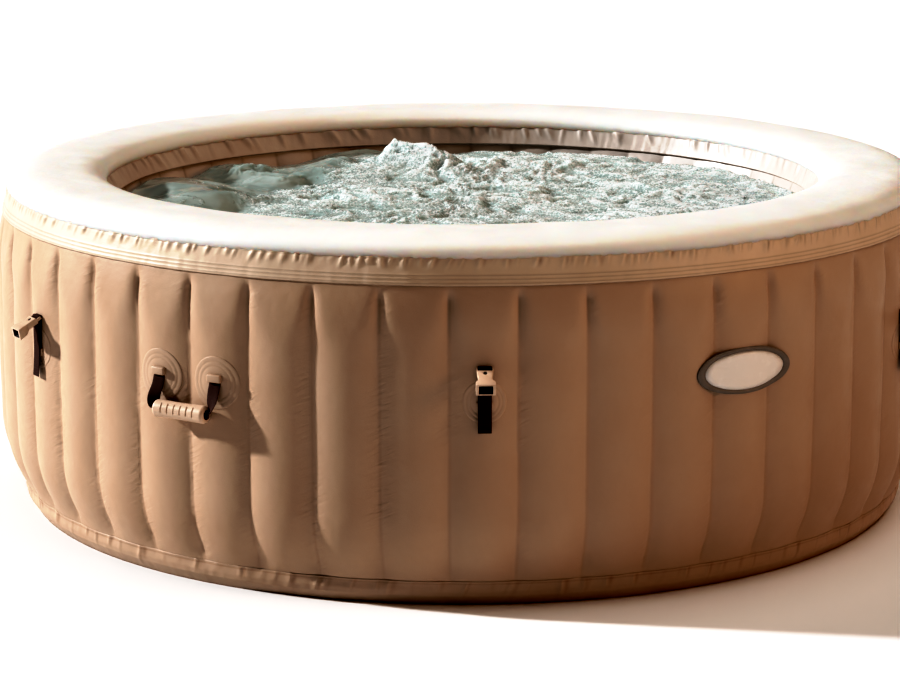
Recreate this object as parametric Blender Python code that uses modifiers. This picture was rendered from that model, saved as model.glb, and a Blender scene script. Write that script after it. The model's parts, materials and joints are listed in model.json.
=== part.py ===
"""Round inflatable hot tub: welded skins, tie webs, cover straps, carry handles and wall fittings.

Units are metres, +Z is up, the origin is the middle of the base on the ground and the front is -Y.
Angles round the tub count panels from the front, positive towards +X.
"""
import math

import bmesh
import bpy
from mathutils import Matrix, Vector

# Tub
OUTER_RADIUS = 0.980
INNER_RADIUS = 0.725
HEIGHT = 0.700
PANELS = 48
SKIN = 0.0016
WEB = 0.0010
CLEARANCE = 0.0003
FLUTE_DEPTH = 0.009
FLUTE_FADE_TOP = 0.045
FLUTE_FADE_LOW = 0.035
COLUMNS_PER_PANEL = 3
RING_SIDES = 48

# Rim, collars, hem and floor
RIM_RISE = 0.038
RIM_SETBACK = 0.0235
RIM_INNER_SETBACK = 0.030
RIM_TUCK = 0.010
RIM_SEGMENTS = 6
RIM_SQUARENESS = 0.72
BAND = 0.0012
COLLAR_HEIGHT = 0.050
COLLAR_DROP = 0.010
INNER_COLLAR_HEIGHT = 0.040
INNER_COLLAR_DROP = 0.012
HEM_HEIGHT = 0.050
HEM_BULGE = 0.25
HEM_TURN = 0.45
FOOT_SETBACK = 0.024
SHEET = 0.0020
LINER = 0.0020
CHANNEL_HEIGHT = 0.050
CHANNEL_DEPTH = 0.045
CHANNEL_UPRIGHT = 0.55
CHANNEL_FLAT = 0.60
AIR_HOLES = 16
AIR_HOLE_RADIUS = 0.003
AIR_HOLE_SIDES = 5

# Cover straps
STRAPS = 6
STRAP_Z = 0.402
STRAP_PATCH_RADIUS = 0.040
PATCH = 0.0015
PATCH_SIDES = 18
WEBBING_WIDTH = 0.025
WEBBING = 0.0020
TAB_HEIGHT = 0.014
TAB_WALL = 0.0025
STRAP_RISE = 0.062
TAIL_DROP = 0.056
TAIL_GAP = 0.0015
STRAP_LEAN = 0.6
TAIL_STRAIGHT = 0.3
LOOP_STEPS = 5
BAR_RADIUS = 0.0020
BUCKLE_LENGTH = 0.058
BUCKLE_WIDTH = 0.036
BUCKLE_THICKNESS = 0.012
BUCKLE_MOUTH_THICKNESS = 0.0195
BUCKLE_LIP = 0.007
BUCKLE_FRAME = 0.006
BUCKLE_WAIST = 0.45
BUCKLE_NECK = 0.66
BUCKLE_SHOULDER = 0.86
BUCKLE_FLARE = 0.72
BUCKLE_TILT = math.radians(32)
MOUTH_WIDTH = 0.025
MOUTH_HEIGHT = 0.0145
MOUTH_DEPTH = 0.018
LOCK_RADIUS = 0.0032
LOCK_DEPTH = 0.0016
LOCK_BACK = 0.0070
KEYWAY_LENGTH = 0.0042
KEYWAY = 0.0010
LOCK_SIDES = 12

# Carry handles
HANDLE_PANEL = -4.5
HANDLE_Z = 0.411
HANDLE_PATCH_RADIUS = 0.050
GRIP_LENGTH = 0.118
GRIP_RADIUS = 0.0165
GRIP_BORE = 0.0095
GRIP_END_ROUND = 0.006
GRIP_DROP = 0.058
GRIP_STANDOFF = 0.0060
GRIP_SIDES = 16
GRIP_NOTCHES = 6
NOTCH_WIDTH = 0.0020
NOTCH_DEPTH = 0.0016
NOTCH_RADIUS = 0.0090
NOTCH_SIDES = 8
NOTCH_PITCH = 0.0145

# Badge
BADGE_PANEL = 4
BADGE_Z = 0.427
BADGE_WIDTH = 0.216
BADGE_HEIGHT = 0.088
BADGE_SIDE_BORDER = 0.017
BADGE_TOP_BORDER = 0.008
BADGE_THICKNESS = 0.0016
BADGE_SIDES = 32

# Fittings on the service side
SERVICE_PANEL = -20
FITTING_SIDES = 16
PORT_Z = 0.190
PORT_TUBE_RADIUS = 0.020
PORT_WALL = 0.0025
PORT_FLANGE_RADIUS = 0.032
PORT_FLANGE = 0.004
PORT_NIPPLE_RADIUS = 0.024
PORT_NIPPLE = 0.026
STRAINER_RADIUS = 0.033
STRAINER_DOME = 0.012
STRAINER_SLOTS = 3
STRAINER_SLOT = 0.004
CAP_WALL = 0.003
CAP_RIB = 0.0012
AIR_PORT_Z = 0.320
AIR_TUBE_RADIUS = 0.011
AIR_NIPPLE_RADIUS = 0.014
AIR_FLANGE_RADIUS = 0.021
VALVE_Z = 0.500
VALVE_RADIUS = 0.014
VALVE_FLANGE_RADIUS = 0.021
VALVE_DEPTH = 0.030
DRAIN_Z = 0.108
DRAIN_RADIUS = 0.012
DRAIN_FLANGE_RADIUS = 0.020
SMALL_NIPPLE = 0.014

# Places worked out from the sizes above
PITCH = 2 * math.pi / PANELS
SEAM_Z = HEIGHT - RIM_RISE
COLLAR_LOW = SEAM_Z - COLLAR_HEIGHT
INNER_COLLAR_LOW = SEAM_Z - INNER_COLLAR_HEIGHT
FLUTE_TOP = COLLAR_LOW - FLUTE_FADE_TOP
FLUTE_LOW = HEM_HEIGHT + FLUTE_FADE_LOW
WALL_TOP = SEAM_Z - RIM_TUCK - SKIN
SEAM_RADIUS = OUTER_RADIUS - RIM_SETBACK
INNER_SEAM_RADIUS = INNER_RADIUS + RIM_INNER_SETBACK
FOOT_RADIUS = OUTER_RADIUS - FOOT_SETBACK
LINER_Z = SHEET + CLEARANCE
FLOOR_Z = LINER_Z + LINER
CROWN = OUTER_RADIUS * math.cos(PITCH / COLUMNS_PER_PANEL / 2)
INNER_CROWN = INNER_RADIUS * math.cos(PITCH / 2)
PATCH_FACE = CLEARANCE + PATCH
TAB_SLOT = WEBBING + 2 * CLEARANCE
LOOP_RADIUS = BAR_RADIUS + CLEARANCE + WEBBING / 2
ROOT_DEPTH = CLEARANCE + WEBBING / 2
BAR_OUT = TAB_SLOT + TAB_WALL + WEBBING + TAIL_GAP - LOOP_RADIUS
TAIL_FACE = LOOP_RADIUS + WEBBING / 2
TAIL_REST = TAIL_FACE / math.cos(BUCKLE_TILT) + BUCKLE_THICKNESS / 2 * math.tan(BUCKLE_TILT)
BUCKLE_BODY_START = TAIL_REST + CLEARANCE

PARTS = "inflatable_hot_tub"
CUTTERS = "cutters"
SIDE_VIEW = Matrix(((0, 0, -1, 0), (-1, 0, 0, 0), (0, 1, 0, 0), (0, 0, 0, 1)))
OUTWARD = Matrix.Rotation(math.pi / 2, 4, "X")


def sagitta(radius, sides):
    """How far the middle of a facet lies inside the circle through its corners."""
    return radius * (1 - math.cos(math.pi / sides))


def flute_fade(z, low, top, low_end, top_end):
    """Share of the full flute depth at a height: one between low and top, none at the ends."""
    rising = (z - low_end) / (low - low_end)
    falling = (top_end - z) / (top_end - top)
    return max(0.0, min(1.0, rising, falling))


def place(panel, radius, z):
    """Frame on the wall: X runs along it to the right, -Y points out of it and Z is up."""
    turn = Matrix.Rotation(panel * PITCH, 4, "Z")
    return turn @ Matrix.Translation((0, -radius, z))


def clear_scene():
    """Removes what is in the file and makes the two collections."""
    for item in list(bpy.data.objects):
        bpy.data.objects.remove(item, do_unlink=True)
    for name in (PARTS, CUTTERS):
        found = bpy.data.collections.get(name) or bpy.data.collections.new(name)
        if found.name not in bpy.context.scene.collection.children:
            bpy.context.scene.collection.children.link(found)


def material(name, colour, roughness, metallic=0.0):
    """A Principled material, made once for each name."""
    found = bpy.data.materials.get(name)
    if found:
        return found
    made = bpy.data.materials.new(name)
    made.use_nodes = True
    shader = made.node_tree.nodes["Principled BSDF"]
    shader.inputs["Base Color"].default_value = (*colour, 1.0)
    shader.inputs["Roughness"].default_value = roughness
    shader.inputs["Metallic"].default_value = metallic
    return made


def tan_vinyl():
    """Laminated vinyl of the walls and bands."""
    return material("tan_vinyl", (0.52, 0.32, 0.19), 0.5)


def white_vinyl():
    """White vinyl of the rim."""
    return material("white_vinyl", (0.86, 0.84, 0.80), 0.45)


def grey_sheet():
    """Grey sheet under the base."""
    return material("grey_sheet", (0.30, 0.29, 0.28), 0.7)


def tan_plastic():
    """Moulded tan plastic of the grips, buckles and fittings."""
    return material("tan_plastic", (0.60, 0.40, 0.26), 0.4)


def black_webbing():
    """Woven black strap."""
    return material("black_webbing", (0.012, 0.010, 0.010), 0.85)


def dark_plastic():
    """Dark grey plastic of the lock barrels."""
    return material("dark_plastic", (0.05, 0.045, 0.04), 0.45)


def badge_grey():
    """Raised border of the oval badge."""
    return material("badge_grey", (0.10, 0.075, 0.06), 0.5)


def badge_pale():
    """Bare face of the oval badge."""
    return material("badge_pale", (0.55, 0.53, 0.50), 0.4)


def link(name, mesh, matrix=None, finish=None, collection=PARTS):
    """Makes an object from a mesh or a curve and puts it in its collection."""
    made = bpy.data.objects.new(name, mesh)
    bpy.data.collections[collection].objects.link(made)
    if matrix is not None:
        made.matrix_world = matrix
    if finish is not None:
        mesh.materials.clear()
        mesh.materials.append(finish)
    if collection == CUTTERS:
        made.hide_render = True
        made.display_type = "WIRE"
    return made


def bake(made):
    """Turns an object with its modifiers into a plain mesh in its own frame and removes it."""
    bpy.context.view_layer.update()
    evaluated = made.evaluated_get(bpy.context.evaluated_depsgraph_get())
    mesh = bpy.data.meshes.new_from_object(evaluated)
    shape = bmesh.new()
    shape.from_mesh(mesh)
    bmesh.ops.remove_doubles(shape, verts=shape.verts, dist=1e-6)
    if all(edge.is_manifold for edge in shape.edges):
        bmesh.ops.recalc_face_normals(shape, faces=shape.faces)
    shape.to_mesh(mesh)
    shape.free()
    bpy.data.objects.remove(made, do_unlink=True)
    return mesh


def smooth(mesh, angle=40):
    """Shades a mesh smooth but for its sharp edges."""
    mesh.shade_smooth()
    mesh.set_sharp_from_angle(angle=math.radians(angle))
    return mesh


def turned(profile, sides, closed=True, matrix=None):
    """Mesh turned about Z from points (radius, z) that run down the outer side."""
    mesh = bpy.data.meshes.new("profile")
    ends = len(profile) if closed else len(profile) - 1
    edges = [(i, (i + 1) % len(profile)) for i in range(ends)]
    mesh.from_pydata([(r, 0, z) for r, z in profile], edges, [])
    made = link("turned", mesh, collection=CUTTERS)
    screw = made.modifiers.new("Turn", "SCREW")
    screw.steps = sides
    screw.render_steps = sides
    screw.use_merge_vertices = True
    screw.merge_threshold = 1e-5
    result = bake(made)
    if matrix is not None:
        result.transform(matrix)
    return result


def ring_strip(profile, thickness, sides=RING_SIDES):
    """Turned open strip with a wall behind its visible face."""
    made = link("strip", turned(profile, sides, closed=False), collection=CUTTERS)
    return solidified(made, thickness)


def solidified(made, thickness, offset=-1.0):
    """Gives an open surface its wall thickness."""
    shell = made.modifiers.new("Wall", "SOLIDIFY")
    shell.thickness = thickness
    shell.offset = offset
    shell.use_even_offset = True
    return bake(made)


def flat(outlines, thickness, matrix=None):
    """Flat plate from outlines in XY, the later ones being holes, thick along Z."""
    curve = bpy.data.curves.new("outline", "CURVE")
    curve.dimensions = "2D"
    curve.fill_mode = "BOTH"
    curve.extrude = thickness / 2
    for points in outlines:
        spline = curve.splines.new("POLY")
        spline.points.add(len(points) - 1)
        for spot, (x, y) in zip(spline.points, points):
            spot.co = (x, y, 0, 1)
        spline.use_cyclic_u = True
    result = bake(link("plate", curve, collection=CUTTERS))
    if matrix is not None:
        result.transform(matrix)
    return result


def box(size, centre, matrix=None, edge=0.0):
    """Box mesh of a size about a centre, with its edges rounded if asked."""
    shape = bmesh.new()
    bmesh.ops.create_cube(shape, size=1.0)
    bmesh.ops.scale(shape, vec=size, verts=shape.verts)
    bmesh.ops.translate(shape, vec=centre, verts=shape.verts)
    if edge:
        bmesh.ops.bevel(shape, geom=shape.edges[:], offset=edge, segments=1, affect="EDGES")
    mesh = bpy.data.meshes.new("box")
    shape.to_mesh(mesh)
    shape.free()
    if matrix is not None:
        mesh.transform(matrix)
    return mesh


def rod(radius, low, high, sides, matrix=None):
    """Plain cylinder mesh about Z between two heights."""
    shape = bmesh.new()
    bmesh.ops.create_cone(
        shape, cap_ends=True, segments=sides, radius1=radius, radius2=radius, depth=high - low
    )
    bmesh.ops.translate(shape, vec=(0, 0, (low + high) / 2), verts=shape.verts)
    mesh = bpy.data.meshes.new("rod")
    shape.to_mesh(mesh)
    shape.free()
    if matrix is not None:
        mesh.transform(matrix)
    return mesh


def gathered(meshes):
    """One mesh that holds several separate ones, to be used as a cutter."""
    shape = bmesh.new()
    for mesh in meshes:
        shape.from_mesh(mesh)
    result = bpy.data.meshes.new("gathered")
    shape.to_mesh(result)
    shape.free()
    return result


def combine(mesh, steps):
    """Applies Boolean steps, each an operation with its mesh, in order."""
    made = link("combined", mesh, collection=CUTTERS)
    tools = []
    for operation, tool_mesh in steps:
        tool = link("tool", tool_mesh, collection=CUTTERS)
        cut = made.modifiers.new(operation.title(), "BOOLEAN")
        cut.operation = operation
        cut.object = tool
        cut.solver = "EXACT"
        tools.append(tool)
    result = bake(made)
    for tool in tools:
        bpy.data.objects.remove(tool, do_unlink=True)
    return result


def loft(sections):
    """Closed mesh through loops of points that all have the same count."""
    shape = bmesh.new()
    loops = [[shape.verts.new(point) for point in section] for section in sections]
    count = len(loops[0])
    for near, far in zip(loops, loops[1:]):
        for i in range(count):
            j = (i + 1) % count
            shape.faces.new((near[i], near[j], far[j], far[i]))
    shape.faces.new(reversed(loops[0]))
    shape.faces.new(loops[-1])
    bmesh.ops.recalc_face_normals(shape, faces=shape.faces)
    mesh = bpy.data.meshes.new("loft")
    shape.to_mesh(mesh)
    shape.free()
    return mesh


def fluted(profile, seam_at_front=False, lift=0.0):
    """Open turned surface whose panels bulge out between the seams."""
    columns = COLUMNS_PER_PANEL
    mesh = turned(profile, PANELS * columns, closed=False)
    full = 4 * (columns // 2) * (columns - columns // 2) / columns**2
    turn = -math.pi / 2 - (0 if seam_at_front else PITCH / 2)
    for vertex in mesh.vertices:
        x, y, z = vertex.co
        angle = math.atan2(y, x)
        share = (angle / PITCH) % 1.0
        arch = 4 * share * (1 - share) / full
        radius = math.hypot(x, y) - FLUTE_DEPTH * fade(z) * (1 - arch) + lift
        vertex.co = (radius * math.cos(angle + turn), radius * math.sin(angle + turn), z)
    return mesh


def fade(z):
    """Flute depth share on the outer wall."""
    return flute_fade(z, FLUTE_LOW, FLUTE_TOP, LINER_Z, WALL_TOP)


def collar_profile():
    """Visible face of the outer collar, from the rim seam down."""
    return [(SEAM_RADIUS, SEAM_Z), (OUTER_RADIUS - COLLAR_DROP, COLLAR_LOW)]


def band_lap():
    """Radius that a band with its facets needs outside the wall it lies on."""
    return BAND + sagitta(OUTER_RADIUS, RING_SIDES) + CLEARANCE


def foot_profile():
    """Outer wall from the end of its straight part down to the base."""
    return [(OUTER_RADIUS, FLUTE_LOW), (FOOT_RADIUS - band_lap(), LINER_Z)]


def hem_profile():
    """Visible face of the hem, from its top edge round to the ground."""
    top = along(foot_profile(), HEM_HEIGHT) + band_lap()
    middle = (top + FOOT_RADIUS) / 2 + (top - FOOT_RADIUS) * HEM_BULGE
    return [(top, HEM_HEIGHT), (middle, HEM_HEIGHT * HEM_TURN), (FOOT_RADIUS, 0.0)]


def inner_collar_profile():
    """Visible face of the inner collar, from its low edge up to the rim seam."""
    return [(INNER_RADIUS + INNER_COLLAR_DROP, INNER_COLLAR_LOW), (INNER_SEAM_RADIUS, SEAM_Z)]


def along(profile, z):
    """Radius of a two-point profile at a height."""
    (r0, z0), (r1, z1) = profile
    return r0 + (r1 - r0) * (z - z0) / (z1 - z0)


def through_holes(reach_in):
    """Cylinders that pierce the walls where tubes pass, as one cutter."""
    made = []
    for panel, z, radius, depth in tube_places():
        if depth < reach_in:
            continue
        frame = place(panel, CROWN, z) @ OUTWARD
        near = -SKIN - FLUTE_DEPTH
        far = FLUTE_DEPTH
        if reach_in:
            near = -depth - PORT_FLANGE
            far = -(CROWN - INNER_RADIUS) / 2
        made.append(rod(radius + 2 * CLEARANCE, near, far, FITTING_SIDES, frame))
    return gathered(made)


def tube_places():
    """Panel, height, tube radius and depth behind the wall of each fitting that pierces it."""
    through = CROWN - INNER_CROWN
    return [
        (SERVICE_PANEL - 1, PORT_Z, PORT_TUBE_RADIUS, through),
        (SERVICE_PANEL + 1, PORT_Z, PORT_TUBE_RADIUS, through),
        (SERVICE_PANEL, AIR_PORT_Z, AIR_TUBE_RADIUS, VALVE_DEPTH),
        (SERVICE_PANEL + 2, VALVE_Z, VALVE_RADIUS, VALVE_DEPTH),
        (SERVICE_PANEL - 2, DRAIN_Z, DRAIN_RADIUS, through),
    ]


def outer_wall():
    """Fluted outer skin with the tie webs welded to its seams."""
    profile = [
        (along(collar_profile(), WALL_TOP) - band_lap(), WALL_TOP),
        (OUTER_RADIUS, FLUTE_TOP),
        *foot_profile(),
    ]
    shell = solidified(link("skin", fluted(profile), collection=CUTTERS), SKIN)
    start = INNER_RADIUS + SKIN + CLEARANCE
    end = OUTER_RADIUS - FLUTE_DEPTH - SKIN / 2
    size = (WEB, end - start, FLUTE_TOP - FLUTE_LOW)
    centre = (0, -(start + end) / 2, (FLUTE_TOP + FLUTE_LOW) / 2)
    webs = [box(size, centre, place(seam + 0.5, 0, 0)) for seam in range(PANELS)]
    steps = [("UNION", gathered(webs)), ("DIFFERENCE", through_holes(0))]
    return smooth(combine(shell, steps), 25)


def inner_wall():
    """Inner skin of the basin, with its facets centred on the outer panels."""
    lap = BAND + CLEARANCE + sagitta(INNER_SEAM_RADIUS, PANELS)
    profile = [
        (INNER_RADIUS, LINER_Z),
        (INNER_RADIUS, FLUTE_TOP),
        (along(inner_collar_profile(), WALL_TOP) + lap, WALL_TOP),
    ]
    skin = turned(profile, PANELS, False, Matrix.Rotation(PITCH / 2, 4, "Z"))
    shell = solidified(link("skin", skin, collection=CUTTERS), SKIN)
    return smooth(combine(shell, [("DIFFERENCE", through_holes(VALVE_DEPTH * 2))]), 25)


def top_rim():
    """Arched rim skin between the two seams, its edges tucked behind the collars."""
    outer = SEAM_RADIUS - BAND - CLEARANCE
    inner = INNER_SEAM_RADIUS + BAND + CLEARANCE
    middle = (outer + inner) / 2
    half = (outer - inner) / 2
    outer_edge = along(collar_profile(), SEAM_Z - RIM_TUCK) - BAND - CLEARANCE
    inner_edge = along(inner_collar_profile(), SEAM_Z - RIM_TUCK) + BAND + CLEARANCE
    profile = [(inner_edge, SEAM_Z - RIM_TUCK)]
    for i in range(RIM_SEGMENTS + 1):
        turn = math.pi * (1 - i / RIM_SEGMENTS)
        reach = math.copysign(abs(math.cos(turn)) ** RIM_SQUARENESS, math.cos(turn))
        rise = abs(math.sin(turn)) ** RIM_SQUARENESS
        profile.append((middle + half * reach, SEAM_Z + RIM_RISE * rise))
    profile.append((outer_edge, SEAM_Z - RIM_TUCK))
    return smooth(ring_strip(profile, SKIN), 50)


def ground_sheet():
    """Sheet that closes the base under the walls and the floor."""
    radius = FOOT_RADIUS - BAND * 2 - CLEARANCE
    return turned([(0, SHEET), (radius, SHEET), (radius, 0), (0, 0)], RING_SIDES, closed=False)


def floor_liner():
    """Basin floor laid on the ground sheet."""
    radius = INNER_CROWN - CLEARANCE
    profile = [(0, FLOOR_Z), (radius, FLOOR_Z), (radius, LINER_Z), (0, LINER_Z)]
    return turned(profile, RING_SIDES, closed=False)


def air_channel():
    """Perforated bubble channel round the foot of the basin."""
    wall = INNER_CROWN - CLEARANCE
    face = wall - CHANNEL_DEPTH
    profile = [
        (face, FLOOR_Z + CLEARANCE),
        (face, CHANNEL_HEIGHT * CHANNEL_UPRIGHT),
        (wall - CHANNEL_DEPTH * CHANNEL_FLAT, CHANNEL_HEIGHT),
        (wall, CHANNEL_HEIGHT),
    ]
    shell = ring_strip(profile, SKIN)
    holes = []
    rise = CHANNEL_HEIGHT * (1 - CHANNEL_UPRIGHT)
    run = CHANNEL_DEPTH * (1 - CHANNEL_FLAT)
    slope = Matrix.Rotation(-math.atan2(rise, run), 4, "X")
    spot = Matrix.Translation((0, -(face + run / 2), CHANNEL_HEIGHT - rise / 2))
    reach = 3 * SKIN
    for i in range(AIR_HOLES):
        turn = Matrix.Rotation(2 * math.pi * (i + 0.5) / AIR_HOLES, 4, "Z")
        holes.append(rod(AIR_HOLE_RADIUS, -reach, reach, AIR_HOLE_SIDES, turn @ spot @ slope))
    return smooth(combine(shell, [("DIFFERENCE", gathered(holes))]), 30)


def wall_sheet(thickness, seam_at_front=False, offset=1.0):
    """Sheet on the straight part of the fluted wall, to punch patches from or to trim them."""
    profile = [(OUTER_RADIUS, FLUTE_TOP), (OUTER_RADIUS, FLUTE_LOW)]
    skin = fluted(profile, seam_at_front, CLEARANCE)
    return solidified(link("sheet", skin, collection=CUTTERS), thickness, offset)


def punch(radius, centre, sides=PATCH_SIDES, flatten=1.0):
    """Round or oval punch that points out of the wall at the front."""
    depth = OUTER_RADIUS / 10
    frame = Matrix.Translation(centre) @ OUTWARD @ Matrix.Diagonal((1, flatten, 1, 1))
    return rod(radius, -depth, depth, sides, frame)


def tab(centre):
    """Bridge on a patch, open up and down, that holds the end of a strap."""
    x, y, z = centre
    width = WEBBING_WIDTH + 2 * CLEARANCE + 2 * TAB_WALL
    reach = TAB_SLOT + TAB_WALL
    block = box((width, reach + PATCH, TAB_HEIGHT), (x, y - (reach - PATCH) / 2, z))
    slot_size = (WEBBING_WIDTH + 2 * CLEARANCE, TAB_SLOT, TAB_HEIGHT * 2)
    slot = box(slot_size, (x, y - TAB_SLOT / 2, z))
    return block, slot


def strap_patch():
    """Round patch with its tab, in the frame of a strap."""
    sheet = wall_sheet(PATCH)
    disc = combine(punch(STRAP_PATCH_RADIUS, (0, -CROWN, STRAP_Z)), [("INTERSECT", sheet)])
    disc.transform(Matrix.Translation((0, CROWN, -STRAP_Z)))
    block, slot = tab((0, -PATCH_FACE, -TAB_HEIGHT / 2))
    return smooth(combine(disc, [("UNION", block), ("DIFFERENCE", slot)]), 30)


def ribbon(path, thickness):
    """Outline of a strip that follows a path in a plane."""
    left, right = [], []
    for i, point in enumerate(path):
        before = Vector(path[max(i - 1, 0)])
        after = Vector(path[min(i + 1, len(path) - 1)])
        run = (after - before).normalized()
        side = Vector((-run.y, run.x)) * thickness / 2
        left.append(tuple(Vector(point) + side))
        right.append(tuple(Vector(point) - side))
    return left + right[::-1]


def strap_webbing():
    """Strap that rises from its tab, loops over the buckle's bar and hangs as a tail."""
    root = ROOT_DEPTH
    path = [(root, -TAB_HEIGHT), (root, 0.0), (BAR_OUT - LOOP_RADIUS, STRAP_RISE * STRAP_LEAN)]
    for i in range(LOOP_STEPS + 1):
        turn = math.pi * (1 - i / LOOP_STEPS)
        out = BAR_OUT + LOOP_RADIUS * math.cos(turn)
        path.append((out, STRAP_RISE + LOOP_RADIUS * math.sin(turn)))
    front = BAR_OUT + LOOP_RADIUS
    path.append((front, STRAP_RISE * TAIL_STRAIGHT))
    path.append((front - WEBBING / 2, -TAIL_DROP / 2))
    path.append((front, -TAIL_DROP))
    return smooth(flat([ribbon(path, WEBBING)], WEBBING_WIDTH, SIDE_VIEW), 40)


def buckle():
    """Receiver with its bar, strap slot, mouth and lock pocket; X runs from bar to mouth."""
    half = BUCKLE_WIDTH / 2
    inside = (WEBBING_WIDTH + 2 * CLEARANCE) / 2
    waist = BUCKLE_BODY_START + (BUCKLE_LENGTH - BUCKLE_BODY_START) * BUCKLE_WAIST
    neck = half * BUCKLE_NECK
    shoulder = half * BUCKLE_SHOULDER
    flare = BUCKLE_LENGTH * BUCKLE_FLARE
    bar = BAR_RADIUS / math.sqrt(2)
    frame_outline = [
        (-bar, -shoulder), (-bar, shoulder), (BUCKLE_BODY_START, shoulder),
        (waist, neck), (waist, -neck), (BUCKLE_BODY_START, -shoulder),
    ]
    window = [
        (bar, -inside), (bar, inside),
        (BUCKLE_BODY_START, inside), (BUCKLE_BODY_START, -inside),
    ]
    plate = flat([frame_outline, window], BUCKLE_FRAME)
    relief_size = (BAR_RADIUS * 4, inside * 2, BUCKLE_FRAME)
    reliefs = [box(relief_size, (0, 0, side * (bar + BUCKLE_FRAME / 2))) for side in (-1, 1)]
    thin, thick = BUCKLE_THICKNESS / 2, BUCKLE_MOUTH_THICKNESS / 2
    stations = [
        (BUCKLE_BODY_START, shoulder, thin, 0.0), (waist, neck, thin, 0.0),
        (flare, half, thick, 0.0), (BUCKLE_LENGTH, half, thick, BUCKLE_LIP),
    ]
    body = loft([
        [(x, -wide, -deep), (x, wide, -deep), (x - lip, wide, deep), (x - lip, -wide, deep)]
        for x, wide, deep, lip in stations
    ])
    mouth_size = (MOUTH_DEPTH * 2, MOUTH_WIDTH, MOUTH_HEIGHT)
    mouth = box(mouth_size, (BUCKLE_LENGTH, 0, 0))
    low = -LOCK_DEPTH - CLEARANCE
    pocket = rod(LOCK_RADIUS + CLEARANCE, low, LOCK_DEPTH, LOCK_SIDES, lock_frame())
    steps = [
        ("DIFFERENCE", gathered(reliefs)), ("UNION", body),
        ("DIFFERENCE", mouth), ("DIFFERENCE", pocket),
    ]
    return smooth(combine(plate, steps), 30)


def lock_frame():
    """Place of the lock barrel on top of the buckle."""
    return Matrix.Translation((BUCKLE_BODY_START + LOCK_BACK, 0, BUCKLE_THICKNESS / 2))


def lock_barrel():
    """Barrel that a key turns, with its keyway."""
    barrel = rod(LOCK_RADIUS, -LOCK_DEPTH, 0, LOCK_SIDES)
    keyway = box((KEYWAY_LENGTH, KEYWAY, LOCK_DEPTH), (0, 0, 0))
    return smooth(combine(barrel, [("DIFFERENCE", keyway)]), 30)


def straps():
    """All cover straps round the tub."""
    patch_mesh = strap_patch()
    webbing_mesh = strap_webbing()
    buckle_mesh = buckle()
    barrel_mesh = lock_barrel()
    tilt = Matrix.Rotation(-BUCKLE_TILT, 4, "Y")
    outward_x = Matrix.Rotation(-math.pi / 2, 4, "Z")
    lean = outward_x @ tilt.inverted()
    for number in range(STRAPS):
        panel = number * PANELS / STRAPS
        seat = place(panel, CROWN, STRAP_Z)
        face = place(panel, CROWN + PATCH_FACE, STRAP_Z)
        bar = face @ Matrix.Translation((0, -BAR_OUT, STRAP_RISE)) @ lean
        link(f"strap_patch_{number + 1}", patch_mesh, seat, tan_vinyl())
        link(f"strap_webbing_{number + 1}", webbing_mesh, face, black_webbing())
        link(f"buckle_{number + 1}", buckle_mesh, bar, tan_plastic())
        link(f"lock_barrel_{number + 1}", barrel_mesh, bar @ lock_frame(), dark_plastic())


def handle_roots():
    """Distance of the handle's patches from its middle, and their depth behind its hinge."""
    return CROWN * math.sin(PITCH / 2), CROWN * math.cos(PITCH / 2)


def handle_patch(side):
    """Patch of a handle with the tab over its hinge line, in the handle's frame."""
    across, depth = handle_roots()
    sheet = wall_sheet(PATCH, seam_at_front=True)
    centre = (side * across, -depth, HANDLE_Z)
    disc = combine(punch(HANDLE_PATCH_RADIUS, centre), [("INTERSECT", sheet)])
    lift = WEBBING / 2 + 3 * CLEARANCE
    reach = handle_hinge_out() + WEBBING / 2 + TAB_WALL
    block = box(
        (WEBBING_WIDTH + 2 * TAB_WALL, reach * 2, TAB_HEIGHT),
        (side * across, -depth, HANDLE_Z + TAB_HEIGHT / 2 + lift),
        edge=TAB_WALL / 3,
    )
    trim = wall_sheet(reach * 3, seam_at_front=True, offset=-1.0)
    mesh = combine(disc, [("UNION", block), ("DIFFERENCE", trim)])
    mesh.transform(Matrix.Translation((0, depth, -HANDLE_Z)))
    return smooth(mesh, 30)


def handle_hinge_out():
    """How far the handle's hinge line stands off the crowns."""
    slant = WEBBING_WIDTH / 2 * math.tan(PITCH / 2)
    return PATCH_FACE + slant + WEBBING / 2 + 2 * CLEARANCE


def grip_out():
    """How far the middle of the grip stands off the hinge line."""
    return GRIP_RADIUS + GRIP_STANDOFF + PATCH_FACE - handle_hinge_out()


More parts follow.
